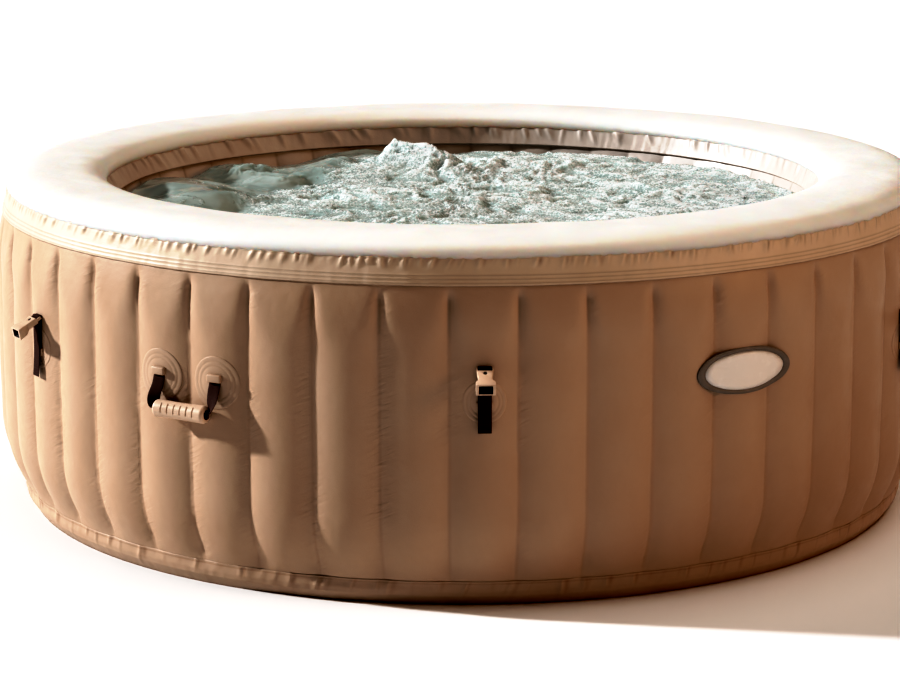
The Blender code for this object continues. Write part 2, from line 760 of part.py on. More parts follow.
def handle_webbing():
    """Strap from one tab through the grip to the other tab, turning edge on as it drops."""
    across, _ = handle_roots()
    out = grip_out()
    half = WEBBING_WIDTH / 2
    bore = GRIP_BORE * math.cos(math.pi / GRIP_SIDES) - CLEARANCE
    bore_half = math.sqrt(bore**2 - (WEBBING / 2) ** 2)
    leg = [
        (across, 0.0, 0.0, 0.0),
        (across, 0.22 * out, -0.30 * GRIP_DROP, 0.25),
        (across + WEBBING, 0.62 * out, -0.62 * GRIP_DROP, 0.65),
        (across + WEBBING, 0.92 * out, -0.90 * GRIP_DROP, 1.0),
        (across - 2 * WEBBING, out, -GRIP_DROP, 1.0),
        (GRIP_LENGTH / 4, out, -GRIP_DROP, 1.0),
    ]
    stations = leg + [(-x, o, z, 2 - twist) for x, o, z, twist in reversed(leg)]
    sections = []
    for i, (x, o, z, twist) in enumerate(stations):
        before = stations[max(i - 1, 0)]
        after = stations[min(i + 1, len(stations) - 1)]
        run = Vector((after[0] - before[0], before[1] - after[1], after[2] - before[2])).normalized()
        quarter = twist * math.pi / 2
        wide = Vector((math.cos(quarter), -math.sin(quarter), 0))
        wide = (wide - run * wide.dot(run)).normalized()
        thin = run.cross(wide).normalized()
        spot = Vector((x, -o, z))
        edge_on = min(twist, 2 - twist)
        reach = half + (bore_half - half) * edge_on
        corners = [(1, 1), (-1, 1), (-1, -1), (1, -1)]
        sections.append([spot + wide * reach * a + thin * WEBBING / 2 * b for a, b in corners])
    return smooth(loft(sections), 50)


def handle_grip():
    """Moulded tube turned about X with a row of notches on its outer face."""
    end = GRIP_LENGTH / 2
    rounding = GRIP_END_ROUND
    profile = [
        (GRIP_BORE, end), (GRIP_RADIUS - rounding, end),
        (GRIP_RADIUS - rounding * 0.3, end - rounding * 0.3), (GRIP_RADIUS, end - rounding),
    ]
    profile += [(r, -z) for r, z in reversed(profile)]
    across = Matrix.Rotation(math.pi / 2, 4, "Y")
    tube = turned(profile, GRIP_SIDES, matrix=across)
    cuts = []
    for i in range(GRIP_NOTCHES):
        x = (i - (GRIP_NOTCHES - 1) / 2) * NOTCH_PITCH
        spot = Matrix.Translation((x, NOTCH_DEPTH - GRIP_RADIUS - NOTCH_RADIUS, 0))
        cuts.append(rod(NOTCH_RADIUS, -NOTCH_WIDTH / 2, NOTCH_WIDTH / 2, NOTCH_SIDES, spot @ across))
    return smooth(combine(tube, [("DIFFERENCE", gathered(cuts))]), 35)


def handles():
    """The seen carry handle and its twin across the tub."""
    _, depth = handle_roots()
    webbing_mesh = handle_webbing()
    grip_mesh = handle_grip()
    patches = {"left": handle_patch(-1), "right": handle_patch(1)}
    for number, panel in enumerate((HANDLE_PANEL, HANDLE_PANEL + PANELS / 2), start=1):
        seat = place(panel, depth, HANDLE_Z)
        hinge = place(panel, depth + handle_hinge_out(), HANDLE_Z)
        for side, mesh in patches.items():
            link(f"handle_patch_{number}_{side}", mesh, seat, tan_vinyl())
        link(f"handle_webbing_{number}", webbing_mesh, hinge, black_webbing())
        grip_place = hinge @ Matrix.Translation((0, -grip_out(), -GRIP_DROP))
        link(f"handle_grip_{number}", grip_mesh, grip_place, tan_plastic())


def badge():
    """Oval badge laid over the panels: a raised border round a bare face."""
    frame = place(BADGE_PANEL, 0, 0)
    flatten = BADGE_HEIGHT / BADGE_WIDTH
    centre = (0, -CROWN, BADGE_Z)
    full = punch(BADGE_WIDTH / 2, centre, BADGE_SIDES, flatten)
    inner_half = BADGE_WIDTH / 2 - BADGE_SIDE_BORDER
    inner_rise = BADGE_HEIGHT / 2 - BADGE_TOP_BORDER
    window = punch(inner_half, centre, BADGE_SIDES, inner_rise / inner_half)
    slim = inner_half - CLEARANCE
    slim_flatten = (inner_rise - CLEARANCE) / slim
    face = punch(slim, centre, BADGE_SIDES, slim_flatten)
    border_sheet = wall_sheet(BADGE_THICKNESS)
    face_sheet = wall_sheet(BADGE_THICKNESS / 2)
    border_mesh = combine(full, [("DIFFERENCE", window), ("INTERSECT", border_sheet)])
    face_mesh = combine(face, [("INTERSECT", face_sheet)])
    link("badge_border", smooth(border_mesh, 30), frame, badge_grey())
    link("badge_face", smooth(face_mesh, 30), frame, badge_pale())


def tube_fitting(tube, flange, nipple, depth, nipple_length, wall=PORT_WALL):
    """Turned fitting: nipple outside, flange on the wall and a tube through it."""
    seat = CLEARANCE
    face = seat + PORT_FLANGE
    tip = face + nipple_length
    bore = tube - wall
    return [
        (bore, tip), (nipple, tip), (nipple, face), (flange, face),
        (flange, seat), (tube, seat), (tube, -depth), (bore, -depth),
    ]


def cap_profile(nipple, length):
    """Turned screw cap that sits over a nipple."""
    inside = nipple + 2 * CLEARANCE
    low = CLEARANCE * 2 + PORT_FLANGE
    roof = CLEARANCE * 2 + PORT_FLANGE + length
    top = roof + CAP_WALL
    return [
        (0, top), (inside + CAP_WALL * 0.6, top), (inside + CAP_WALL, top - CAP_WALL * 0.4),
        (inside + CAP_WALL, low), (inside, low), (inside, roof), (0, roof),
    ]


def ribbed_cap(nipple, length):
    """Screw cap whose skirt has a finger rib at every second side."""
    mesh = turned(cap_profile(nipple, length), FITTING_SIDES, closed=False)
    skirt = nipple + 2 * CLEARANCE + CAP_WALL
    step = 4 * math.pi / FITTING_SIDES
    for vertex in mesh.vertices:
        x, y, _ = vertex.co
        if math.hypot(x, y) > skirt - CLEARANCE:
            share = math.atan2(y, x) / step % 1.0
            grow = 1 + CAP_RIB / skirt * (1 if abs(share - 0.5) < 0.25 else 0)
            vertex.co.xy = x * grow, y * grow
    return smooth(mesh, 30)


def strainer():
    """Domed strainer that plugs into a port from the basin side."""
    bore = PORT_TUBE_RADIUS - PORT_WALL - 2 * CLEARANCE
    seat = PORT_TUBE_RADIUS / 2
    lip = PORT_FLANGE
    dome = [(STRAINER_RADIUS, lip / 2), (STRAINER_RADIUS * 0.8, lip / 2 + STRAINER_DOME * 0.7)]
    profile = [(0, lip / 2 + STRAINER_DOME), *reversed(dome), (STRAINER_RADIUS, 0)]
    profile += [(bore, 0), (bore, -seat), (bore - PORT_WALL, -seat), (bore - PORT_WALL, 0)]
    profile += [(r - PORT_WALL, z - PORT_WALL) for r, z in dome[1:]]
    profile += [(0, lip / 2 + STRAINER_DOME - PORT_WALL)]
    plain = turned(profile, FITTING_SIDES, closed=False)
    slots = []
    for i in range(STRAINER_SLOTS):
        x = (i - (STRAINER_SLOTS - 1) / 2) * 2 * STRAINER_SLOT
        length = 2 * math.sqrt(max((STRAINER_RADIUS * 0.72) ** 2 - x * x, STRAINER_SLOT**2))
        size = (STRAINER_SLOT, length, STRAINER_DOME)
        slots.append(box(size, (x, 0, lip / 2 + STRAINER_DOME)))
    return smooth(combine(plain, [("DIFFERENCE", gathered(slots))]), 30)


def fittings():
    """Ports, valves and their caps on the service side."""
    through = CROWN - INNER_CROWN
    rows = {
        "water_inlet": (SERVICE_PANEL - 1, PORT_Z, PORT_TUBE_RADIUS, PORT_FLANGE_RADIUS,
                        PORT_NIPPLE_RADIUS, through, PORT_NIPPLE),
        "water_outlet": (SERVICE_PANEL + 1, PORT_Z, PORT_TUBE_RADIUS, PORT_FLANGE_RADIUS,
                         PORT_NIPPLE_RADIUS, through, PORT_NIPPLE),
        "air_port": (SERVICE_PANEL, AIR_PORT_Z, AIR_TUBE_RADIUS, AIR_FLANGE_RADIUS,
                     AIR_NIPPLE_RADIUS, VALVE_DEPTH, SMALL_NIPPLE),
        "inflation_valve": (SERVICE_PANEL + 2, VALVE_Z, VALVE_RADIUS, VALVE_FLANGE_RADIUS,
                            VALVE_RADIUS, VALVE_DEPTH, SMALL_NIPPLE / 2),
        "drain_valve": (SERVICE_PANEL - 2, DRAIN_Z, DRAIN_RADIUS, DRAIN_FLANGE_RADIUS,
                        DRAIN_RADIUS, through, SMALL_NIPPLE),
    }
    strainer_mesh = strainer()
    for name, (panel, z, tube, flange, nipple, depth, length) in rows.items():
        frame = place(panel, CROWN, z) @ OUTWARD
        profile = tube_fitting(tube, flange, nipple, depth, length)
        link(name, smooth(turned(profile, FITTING_SIDES), 30), frame, tan_plastic())
        link(f"{name}_cap", ribbed_cap(nipple, length), frame, tan_plastic())
        if name.startswith("water"):
            inside = place(panel, INNER_CROWN - CLEARANCE, z) @ Matrix.Rotation(-math.pi / 2, 4, "X")
            link(f"{name}_strainer", strainer_mesh, inside, tan_plastic())


def tub():
    """The welded skins of the tub."""
    link("outer_wall", outer_wall(), None, tan_vinyl())
    link("inner_wall", inner_wall(), None, tan_vinyl())
    link("top_rim", top_rim(), None, white_vinyl())
    link("outer_collar", smooth(ring_strip(collar_profile(), BAND)), None, tan_vinyl())
    link("inner_collar", smooth(ring_strip(inner_collar_profile(), BAND)), None, tan_vinyl())
    link("bottom_hem", smooth(ring_strip(hem_profile(), BAND)), None, tan_vinyl())
    link("ground_sheet", smooth(ground_sheet()), None, grey_sheet())
    link("floor_liner", smooth(floor_liner()), None, tan_vinyl())
    link("air_channel", air_channel(), None, tan_vinyl())


clear_scene()
tub()
straps()
handles()
badge()
fittings()
bpy.context.view_layer.update()
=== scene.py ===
"""Looks of a round inflatable hot tub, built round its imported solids.

Units are metres and +Z is up. Angles go round the tub from the front, which is -Y, towards +X.
Each class below builds one sub-assembly, dresses it and puts it on the body that carries it.
"""

import json
import logging
import math
from dataclasses import dataclass
from enum import Enum
from typing import Optional, Sequence

import bmesh
import bpy
import numpy as np
from mathutils import Matrix, Vector


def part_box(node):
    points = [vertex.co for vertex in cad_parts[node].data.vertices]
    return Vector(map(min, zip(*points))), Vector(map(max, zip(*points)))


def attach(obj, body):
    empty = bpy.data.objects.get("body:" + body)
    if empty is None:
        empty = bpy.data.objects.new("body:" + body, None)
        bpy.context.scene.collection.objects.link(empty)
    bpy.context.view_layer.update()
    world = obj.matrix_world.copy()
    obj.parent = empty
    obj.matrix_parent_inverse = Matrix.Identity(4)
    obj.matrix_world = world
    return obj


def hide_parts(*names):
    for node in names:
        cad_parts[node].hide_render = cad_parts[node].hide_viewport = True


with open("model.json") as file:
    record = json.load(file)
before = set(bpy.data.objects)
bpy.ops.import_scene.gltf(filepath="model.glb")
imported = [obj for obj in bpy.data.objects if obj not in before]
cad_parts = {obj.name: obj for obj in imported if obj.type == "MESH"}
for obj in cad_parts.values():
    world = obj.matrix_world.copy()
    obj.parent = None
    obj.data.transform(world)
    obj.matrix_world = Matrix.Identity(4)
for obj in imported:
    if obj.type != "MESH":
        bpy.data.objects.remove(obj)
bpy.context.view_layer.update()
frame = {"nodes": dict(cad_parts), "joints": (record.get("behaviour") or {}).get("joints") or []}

LOG = logging.getLogger("hot_tub")
TUB = "tub"
PANELS = 48
PITCH = 2 * math.pi / PANELS
STRAPS = 6
HANDLES = 2
SHARP = math.radians(50)

Colour = tuple[float, float, float]


class Seed(Enum):
    """Fixed seeds of everything that is irregular."""

    WALL = 3
    RIM = 7
    COLLAR = 11
    INSIDE = 19
    HEM = 23
    WATER = 31
    BUBBLES = 37


class Ripple:
    """Smooth seeded noise on arrays, between about -1 and 1."""

    def __init__(self, seed: Seed) -> None:
        """Fills the lattice of random values.

        Args:
            seed: Which of the fixed seeds to draw from.
        """
        self.size = 256
        self.values = np.random.default_rng(seed.value).uniform(-1, 1, (self.size, self.size))

    def at(self, u: np.ndarray, v: np.ndarray, wrap: int = 256) -> np.ndarray:
        """Noise at lattice places.

        Args:
            u: First coordinate, which repeats after wrap cells.
            v: Second coordinate.
            wrap: Number of cells after which u repeats.

        Returns:
            Values of the shape of u and v together.
        """
        u, v = np.broadcast_arrays(u, v)
        u0, v0 = np.floor(u).astype(int), np.floor(v).astype(int)
        fu, fv = u - u0, v - v0
        su, sv = fu * fu * (3 - 2 * fu), fv * fv * (3 - 2 * fv)

        def corner(i: int, j: int) -> np.ndarray:
            """Lattice values at one corner of each cell."""
            return self.values[(u0 + i) % wrap % self.size, (v0 + j) % self.size]

        low = corner(0, 0) * (1 - su) + corner(1, 0) * su
        high = corner(0, 1) * (1 - su) + corner(1, 1) * su
        return low * (1 - sv) + high * sv

    def layered(self, u: np.ndarray, v: np.ndarray, octaves: int) -> np.ndarray:
        """Sum of finer and weaker layers of the noise.

        Args:
            u: First coordinate in cells of the coarsest layer.
            v: Second coordinate in the same cells.
            octaves: Number of layers.

        Returns:
            The summed noise.
        """
        layers = (self.at(u * 2**k + 17 * k, v * 2**k + 5 * k) / 2**k for k in range(octaves))
        return sum(layers)


def bump_at(x: np.ndarray, centre: float, width: float) -> np.ndarray:
    """Round bump of height one.

    Args:
        x: Where it is evaluated.
        centre: Middle of the bump.
        width: Distance at which it has nearly gone.

    Returns:
        The bump's height at x.
    """
    return np.exp(-(((x - centre) / (width / 2)) ** 2))


def ease(x: np.ndarray) -> np.ndarray:
    """Smooth step from nought to one, flat outside."""
    t = np.clip(x, 0, 1)
    return t * t * (3 - 2 * t)


def seat(theta: float, radius: float, z: float) -> Matrix:
    """Frame on the wall: X runs along it to the right, -Y points out of it and Z is up.

    Args:
        theta: Angle round the tub.
        radius: Distance from its axis.
        z: Height.

    Returns:
        The frame's matrix.
    """
    return Matrix.Rotation(theta, 4, "Z") @ Matrix.Translation((0, -radius, z))


def moved(points: np.ndarray, matrix: Matrix) -> np.ndarray:
    """Points taken from a local frame to the row frame."""
    turn = np.array(matrix.to_3x3())
    return points @ turn.T + np.array(matrix.translation)


def node_points(name: str) -> np.ndarray:
    """Vertices of a CAD node as an array."""
    mesh = frame["nodes"][name].data
    points = np.zeros(len(mesh.vertices) * 3, np.float32)
    mesh.vertices.foreach_get("co", points)
    return points.reshape(-1, 3).astype(float)


def crest_profile(name: str) -> tuple[np.ndarray, np.ndarray]:
    """Largest radius of a turned CAD node at each of its heights.

    Args:
        name: The node.

    Returns:
        Heights from the lowest up, and the radius at each.
    """
    points = node_points(name)
    levels = np.round(points[:, 2], 4)
    radii = np.hypot(points[:, 0], points[:, 1])
    heights = np.unique(levels)
    return heights, np.array([radii[levels == z].max() for z in heights])


def joint_place(name: str) -> Vector:
    """Where a joint of the frame lies."""
    return next(Vector(joint["pos_m"]) for joint in frame["joints"] if joint["name"] == name)


def lofted(
    name: str,
    rings: np.ndarray,
    closed: bool = False,
    wrap: bool = True,
    attributes: Optional[dict[str, np.ndarray]] = None,
) -> bpy.types.Mesh:
    """Mesh through a stack of rings that all have the same number of points.

    Args:
        name: Name of the mesh.
        rings: Points as rings by places by three.
        closed: True if the last ring joins the first, otherwise both ends are capped.
        wrap: True if each ring is a closed loop.
        attributes: Values for each point, kept on the mesh under their names.

    Returns:
        The mesh, with its faces outwards.
    """
    count, places = rings.shape[:2]
    index = np.arange(count * places).reshape(count, places)
    grid = np.vstack([index, index[:1]]) if closed else index
    grid = np.hstack([grid, grid[:, :1]]) if wrap else grid
    corners = (grid[:-1, :-1], grid[1:, :-1], grid[1:, 1:], grid[:-1, 1:])
    faces = np.stack(corners, axis=-1).reshape(-1, 4).tolist()
    if not closed:
        faces += [index[0].tolist(), index[-1][::-1].tolist()]
    mesh = bpy.data.meshes.new(name)
    mesh.from_pydata(rings.reshape(-1, 3).tolist(), [], faces)
    for key, values in (attributes or {}).items():
        stored = mesh.attributes.new(key, "FLOAT", "POINT")
        stored.data.foreach_set("value", np.ravel(values).astype(np.float32))
    shape = bmesh.new()
    shape.from_mesh(mesh)
    bmesh.ops.recalc_face_normals(shape, faces=shape.faces)
    shape.to_mesh(mesh)
    shape.free()
    mesh.shade_smooth()
    return mesh


def turned_skin(radius: np.ndarray, z: np.ndarray, theta: np.ndarray) -> np.ndarray:
    """Points of a skin round the tub from its radius and height at each ring and angle."""
    radius, z, theta = np.broadcast_arrays(radius, z, theta)
    return np.stack([radius * np.sin(theta), -radius * np.cos(theta), z], axis=-1)


def round_about(columns: int) -> np.ndarray:
    """Evenly spaced angles round the tub as one row."""
    return (np.arange(columns) * 2 * math.pi / columns)[None, :]


def smooth_line(points: Sequence[Sequence[float]], steps: int) -> np.ndarray:
    """Smooth line through a few points.

    Args:
        points: Points that it passes through, of any dimension.
        steps: Number of pieces between two of them.

    Returns:
        The points of the line.
    """
    p = np.array(points, float)
    p = np.vstack([2 * p[0] - p[1], p, 2 * p[-1] - p[-2]])
    t = (np.arange(steps) / steps)[:, None]
    runs = []
    for a, b, c, d in zip(p, p[1:], p[2:], p[3:]):
        cubic = -a + 3 * b - 3 * c + d
        square = 2 * a - 5 * b + 4 * c - d
        runs.append((2 * b + (c - a) * t + square * t**2 + cubic * t**3) / 2)
    return np.vstack([*runs, p[-2:-1]])


def place(name: str, mesh: bpy.types.Mesh, finish: bpy.types.Material, body: str) -> bpy.types.Object:
    """Makes a piece, dresses it and puts it on the body that carries it.

    Args:
        name: Name of the piece.
        mesh: Its mesh in the row frame.
        finish: Its material.
        body: The CAD body that it moves with.

    Returns:
        The piece.
    """
    mesh.materials.clear()
    mesh.materials.append(finish)
    piece = bpy.data.objects.new(name, mesh)
    bpy.context.scene.collection.objects.link(piece)
    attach(piece, body)
    LOG.info("%s: %d faces on %s", name, len(mesh.polygons), body)
    return piece


def dress(node: str, finish: bpy.types.Material) -> None:
    """Gives a CAD node that stays in view its material."""
    mesh = frame["nodes"][node].data
    mesh.materials.clear()
    mesh.materials.append(finish)


class Shader:
    """A material's node tree with short calls for the nodes that the finishes use."""

    def __init__(self, name: str) -> None:
        """Starts an empty material with its Principled shader.

        Args:
            name: Name of the material.
        """
        self.material = bpy.data.materials.new(name)
        self.material.use_nodes = True
        self.tree = self.material.node_tree
        self.main = self.tree.nodes["Principled BSDF"]
        self.coords = self.tree.nodes.new("ShaderNodeTexCoord").outputs["Object"]

    def node(self, kind: str, **inputs: object) -> bpy.types.Node:
        """Adds a node and links or sets its inputs by name.

        Args:
            kind: Blender's name of the node type.
            **inputs: Sockets to link or values to set, with spaces as underscores.

        Returns:
            The node.
        """
        made = self.tree.nodes.new(kind)
        for key, value in inputs.items():
            self.feed(made.inputs[key.replace("_", " ")], value)
        return made

    def feed(self, socket: bpy.types.NodeSocket, value: object) -> None:
        """Links a socket to another one or sets its value."""
        if isinstance(value, bpy.types.NodeSocket):
            self.tree.links.new(value, socket)
        else:
            socket.default_value = value

    def noise(self, size: float, detail: float = 3.0, swirl: float = 0.0) -> bpy.types.NodeSocket:
        """Cloudy pattern.

        Args:
            size: Size of its patches in metres.
            detail: Number of finer layers.
            swirl: How far its patches are drawn out into curls.

        Returns:
            The pattern's value, between nought and one.
        """
        made = self.node(
            "ShaderNodeTexNoise", Vector=self.coords, Scale=1 / size, Detail=detail, Distortion=swirl
        )
        return made.outputs["Fac"]

    def wrinkles(self, length: float, spacing: float) -> bpy.types.NodeSocket:
        """Fine folds that run along the mesh's own lines.

        Args:
            length: Length of a fold in metres.
            spacing: Distance between two folds in metres.

        Returns:
            The folds' height, between nought and one, where the mesh is gathered.
        """
        along = self.maths("DIVIDE", self.attribute("girth"), length)
        over = self.maths("DIVIDE", self.attribute("wave"), spacing)
        spot = self.node("ShaderNodeCombineXYZ", X=along, Y=over)
        made = self.node("ShaderNodeTexNoise", Vector=spot.outputs[0], Scale=1.0, Detail=2.0, Distortion=0.5)
        return self.maths("MULTIPLY", made.outputs["Fac"], self.attribute("gather"))

    def cells(self, size: float) -> bpy.types.NodeSocket:
        """Distance within the cells of a grained surface, for cells of a size in metres."""
        made = self.node("ShaderNodeTexVoronoi", Vector=self.coords, Scale=1 / size)
        return made.outputs["Distance"]

    def attribute(self, name: str) -> bpy.types.NodeSocket:
        """Value that the piece's mesh holds under a name."""
        made = self.tree.nodes.new("ShaderNodeAttribute")
        made.attribute_name = name
        return made.outputs["Fac"]

    def ranged(
        self, value: bpy.types.NodeSocket, low: float, high: float, to: tuple[float, float]
    ) -> bpy.types.NodeSocket:
        """Value between two limits spread over another range.

        Args:
            value: What is read.
            low: Value that gives the range's start.
            high: Value that gives its end.
            to: Start and end of the new range.

        Returns:
            The new value.
        """
        made = self.node(
            "ShaderNodeMapRange", Value=value, From_Min=low, From_Max=high, To_Min=to[0], To_Max=to[1]
        )
        made.interpolation_type = "SMOOTHSTEP"
        return made.outputs["Result"]

    def maths(self, operation: str, a: object, b: object = 0.0) -> bpy.types.NodeSocket:
        """Result of one arithmetic operation on two values."""
        made = self.tree.nodes.new("ShaderNodeMath")
        made.operation = operation
        self.feed(made.inputs[0], a)
        self.feed(made.inputs[1], b)
        return made.outputs["Value"]

    def blend(self, share: bpy.types.NodeSocket, a: object, b: object) -> bpy.types.NodeSocket:
        """Colour between two colours.

        Args:
            share: Nought for the first colour and one for the second.
            a: First colour, or the socket that gives it.
            b: Second colour, or the socket that gives it.

        Returns:
            The mixed colour.
        """
        made = self.tree.nodes.new("ShaderNodeMix")
        made.data_type = "RGBA"
        self.feed(made.inputs[0], share)
        for socket, value in ((made.inputs[6], a), (made.inputs[7], b)):
            self.feed(socket, value if isinstance(value, bpy.types.NodeSocket) else (*value, 1.0))
        return made.outputs[2]

    def relief(
        self, height: bpy.types.NodeSocket, depth: float, before: Optional[bpy.types.NodeSocket] = None
    ) -> bpy.types.NodeSocket:
        """Bump on the surface.

        Args:
            height: Pattern of the bump, between nought and one.
            depth: Its full height in metres.
            before: Normal that it is added to.

        Returns:
            The bumped normal.
        """
        made = self.node("ShaderNodeBump", Height=height, Distance=depth, Strength=1.0)
        if before is not None:
            self.feed(made.inputs["Normal"], before)
        return made.outputs["Normal"]

    def let_light_in(self, weight: float, depth: float, tint: Colour) -> None:
        """Lets light spread under the surface.

        Args:
            weight: Share of the light that goes under it.
            depth: How far it spreads in metres.
            tint: Share of that distance for red, green and blue.
        """
        self.finish(Subsurface_Weight=weight, Subsurface_Scale=depth, Subsurface_Radius=tint)

    def finish(self, **inputs: object) -> bpy.types.Material:
        """Sets or links the shader's inputs by name and gives the material."""
        for key, value in inputs.items():
            self.feed(self.main.inputs[key.replace("_", " ")], value)
        return self.material


@dataclass(frozen=True)
class Vinyl:
    """Laminated vinyl: satin, finely grained and mottled, with painted shade in its creases and darker weld
    lines.
    """

    name: str
    colour: Colour
    shade: Colour
    # Colour painted into creases, seams, grooves and undersides as shade, and into weld lines.
    shade_and_welds: Colour
    roughness: tuple[float, float] = (0.40, 0.52)
    grain: float = 0.0016
    grain_depth: float = 0.00010
    slack: float = 0.020
    slack_depth: float = 0.0007
    mottle: float = 0.16
    speck: float = 0.012
    sheen: float = 0.045
    wrinkle: float = 0.0
    wrinkle_length: float = 0.030
    wrinkle_spacing: float = 0.0085
    glow: float = 0.0
    glow_depth: float = 0.10
    glow_tint: Colour = (1.0, 0.62, 0.42)

    def make(self) -> bpy.types.Material:
        """Builds the material; a value that the mesh may hold blends in the painted shade of creases and the
        darker weld lines.
        """
        s = Shader(self.name)
        mottle = s.ranged(s.noise(self.mottle, 4.0), 0.35, 0.68, (0.0, 1.0))
        colour = s.blend(mottle, self.colour, self.shade)
        specks = s.ranged(s.noise(self.speck, 5.0), 0.56, 0.74, (0.0, 0.28))
        colour = s.blend(specks, colour, self.shade)
        # Painted shade: the mesh's value darkens creases, seams, grooves and undersides, and on the bands
        # also the weld lines.
        colour = s.blend(s.attribute("shade_and_welds"), colour, self.shade_and_welds)
        normal = s.relief(s.noise(self.slack, 2.0), self.slack_depth)
        if self.wrinkle:
            normal = s.relief(s.wrinkles(self.wrinkle_length, self.wrinkle_spacing), self.wrinkle, normal)
        normal = s.relief(s.cells(self.grain), self.grain_depth, normal)
        gloss = s.ranged(s.noise(self.sheen, 3.0), 0.3, 0.7, self.roughness)
        if self.glow:
            s.let_light_in(self.glow, self.glow_depth, self.glow_tint)
        return s.finish(Base_Color=colour, Roughness=gloss, Normal=normal, Specular_IOR_Level=0.42)


@dataclass(frozen=True)
class Moulding:
    """Moulded plastic with a fine spark texture and rubbed patches."""

    name: str
    colour: Colour
    worn: Colour
    roughness: tuple[float, float] = (0.32, 0.50)
    spark: float = 0.0007
    spark_depth: float = 0.00005

    def make(self) -> bpy.types.Material:
        """Builds the material."""
        s = Shader(self.name)
        rubbed = s.ranged(s.noise(0.018, 4.0), 0.50, 0.72, (0.0, 0.65))
        colour = s.blend(rubbed, self.colour, self.worn)
        normal = s.relief(s.cells(self.spark), self.spark_depth)
        gloss = s.ranged(s.noise(0.008, 3.0), 0.35, 0.65, self.roughness)
        return s.finish(Base_Color=colour, Roughness=gloss, Normal=normal)


@dataclass(frozen=True)
class Webbing:
    """Plain woven strap; its mesh holds the places along and across it in metres."""

    name: str
    thread: Colour
    gap: Colour
    rib: float = 0.0016
    ends: float = 0.0026

    def make(self) -> bpy.types.Material:
        """Builds the material."""
        s = Shader(self.name)

        def waves(place: bpy.types.NodeSocket, size: float) -> bpy.types.NodeSocket:
            """Sine of a place over a spacing."""
            return s.maths("SINE", s.maths("MULTIPLY", place, 2 * math.pi / size))

        weft = waves(s.attribute("along"), self.rib)
        warp = waves(s.attribute("across"), self.ends)
        weave = s.maths("MULTIPLY_ADD", s.maths("MULTIPLY", weft, warp), 0.5)
        height = s.ranged(weave, -0.5, 0.5, (0.0, 1.0))
        fuzz = s.ranged(s.noise(0.0009, 3.0), 0.3, 0.7, (0.0, 1.0))
        colour = s.blend(height, self.gap, self.thread)
        normal = s.relief(fuzz, 0.00012, s.relief(height, 0.00035))
        return s.finish(Base_Color=colour, Roughness=0.72, Normal=normal, Specular_IOR_Level=0.25)


@dataclass(frozen=True)
class Foam:
    """Churned water: clear green in the hollows and white froth on the crests."""

    name: str
    deep: Colour
    shallow: Colour
    froth: Colour
    glow: float = 0.7
    glow_depth: float = 0.035
    glow_tint: Colour = (0.75, 1.0, 1.0)

    def make(self) -> bpy.types.Material:
        """Builds the material; the mesh holds how frothy each place is as foam."""
        s = Shader(self.name)
        foam = s.attribute("foam")
        grain = s.ranged(s.noise(0.0046, 2.0, 0.6), 0.36, 0.64, (-0.32, 0.32))
        clump = s.ranged(s.noise(0.034, 3.0, 0.8), 0.32, 0.68, (-0.24, 0.24))
        edge = s.maths("ADD", s.maths("ADD", foam, grain), s.maths("MULTIPLY", clump, foam))
        froth = s.ranged(edge, 0.32, 1.02, (0.0, 1.0))
        body = s.blend(s.ranged(s.noise(0.09, 3.0), 0.35, 0.65, (0.0, 1.0)), self.deep, self.shallow)
        colour = s.blend(froth, body, self.froth)
        rough = s.ranged(foam, 0.05, 0.40, (0.0, 1.0))
        beads = s.maths("MULTIPLY", s.cells(0.0050), rough)
        lumps = s.maths("MULTIPLY", s.noise(0.012, 3.0, 0.4), rough)
        normal = s.relief(beads, 0.0006, s.relief(lumps, 0.0018))
        gloss = s.ranged(froth, 0.0, 1.0, (0.10, 0.50))
        s.let_light_in(self.glow, self.glow_depth, self.glow_tint)
        return s.finish(Base_Color=colour, Roughness=gloss, Normal=normal, IOR=1.33, Specular_IOR_Level=0.5)


@dataclass(frozen=True)
class Plain:
    """Even stage surface with a faint tone in it."""

    name: str
    colour: Colour
    tone: Colour

    def make(self) -> bpy.types.Material:
        """Builds the material."""
        s = Shader(self.name)
        colour = s.blend(s.noise(0.8, 2.0), self.colour, self.tone)
        return s.finish(Base_Color=colour, Roughness=0.9)


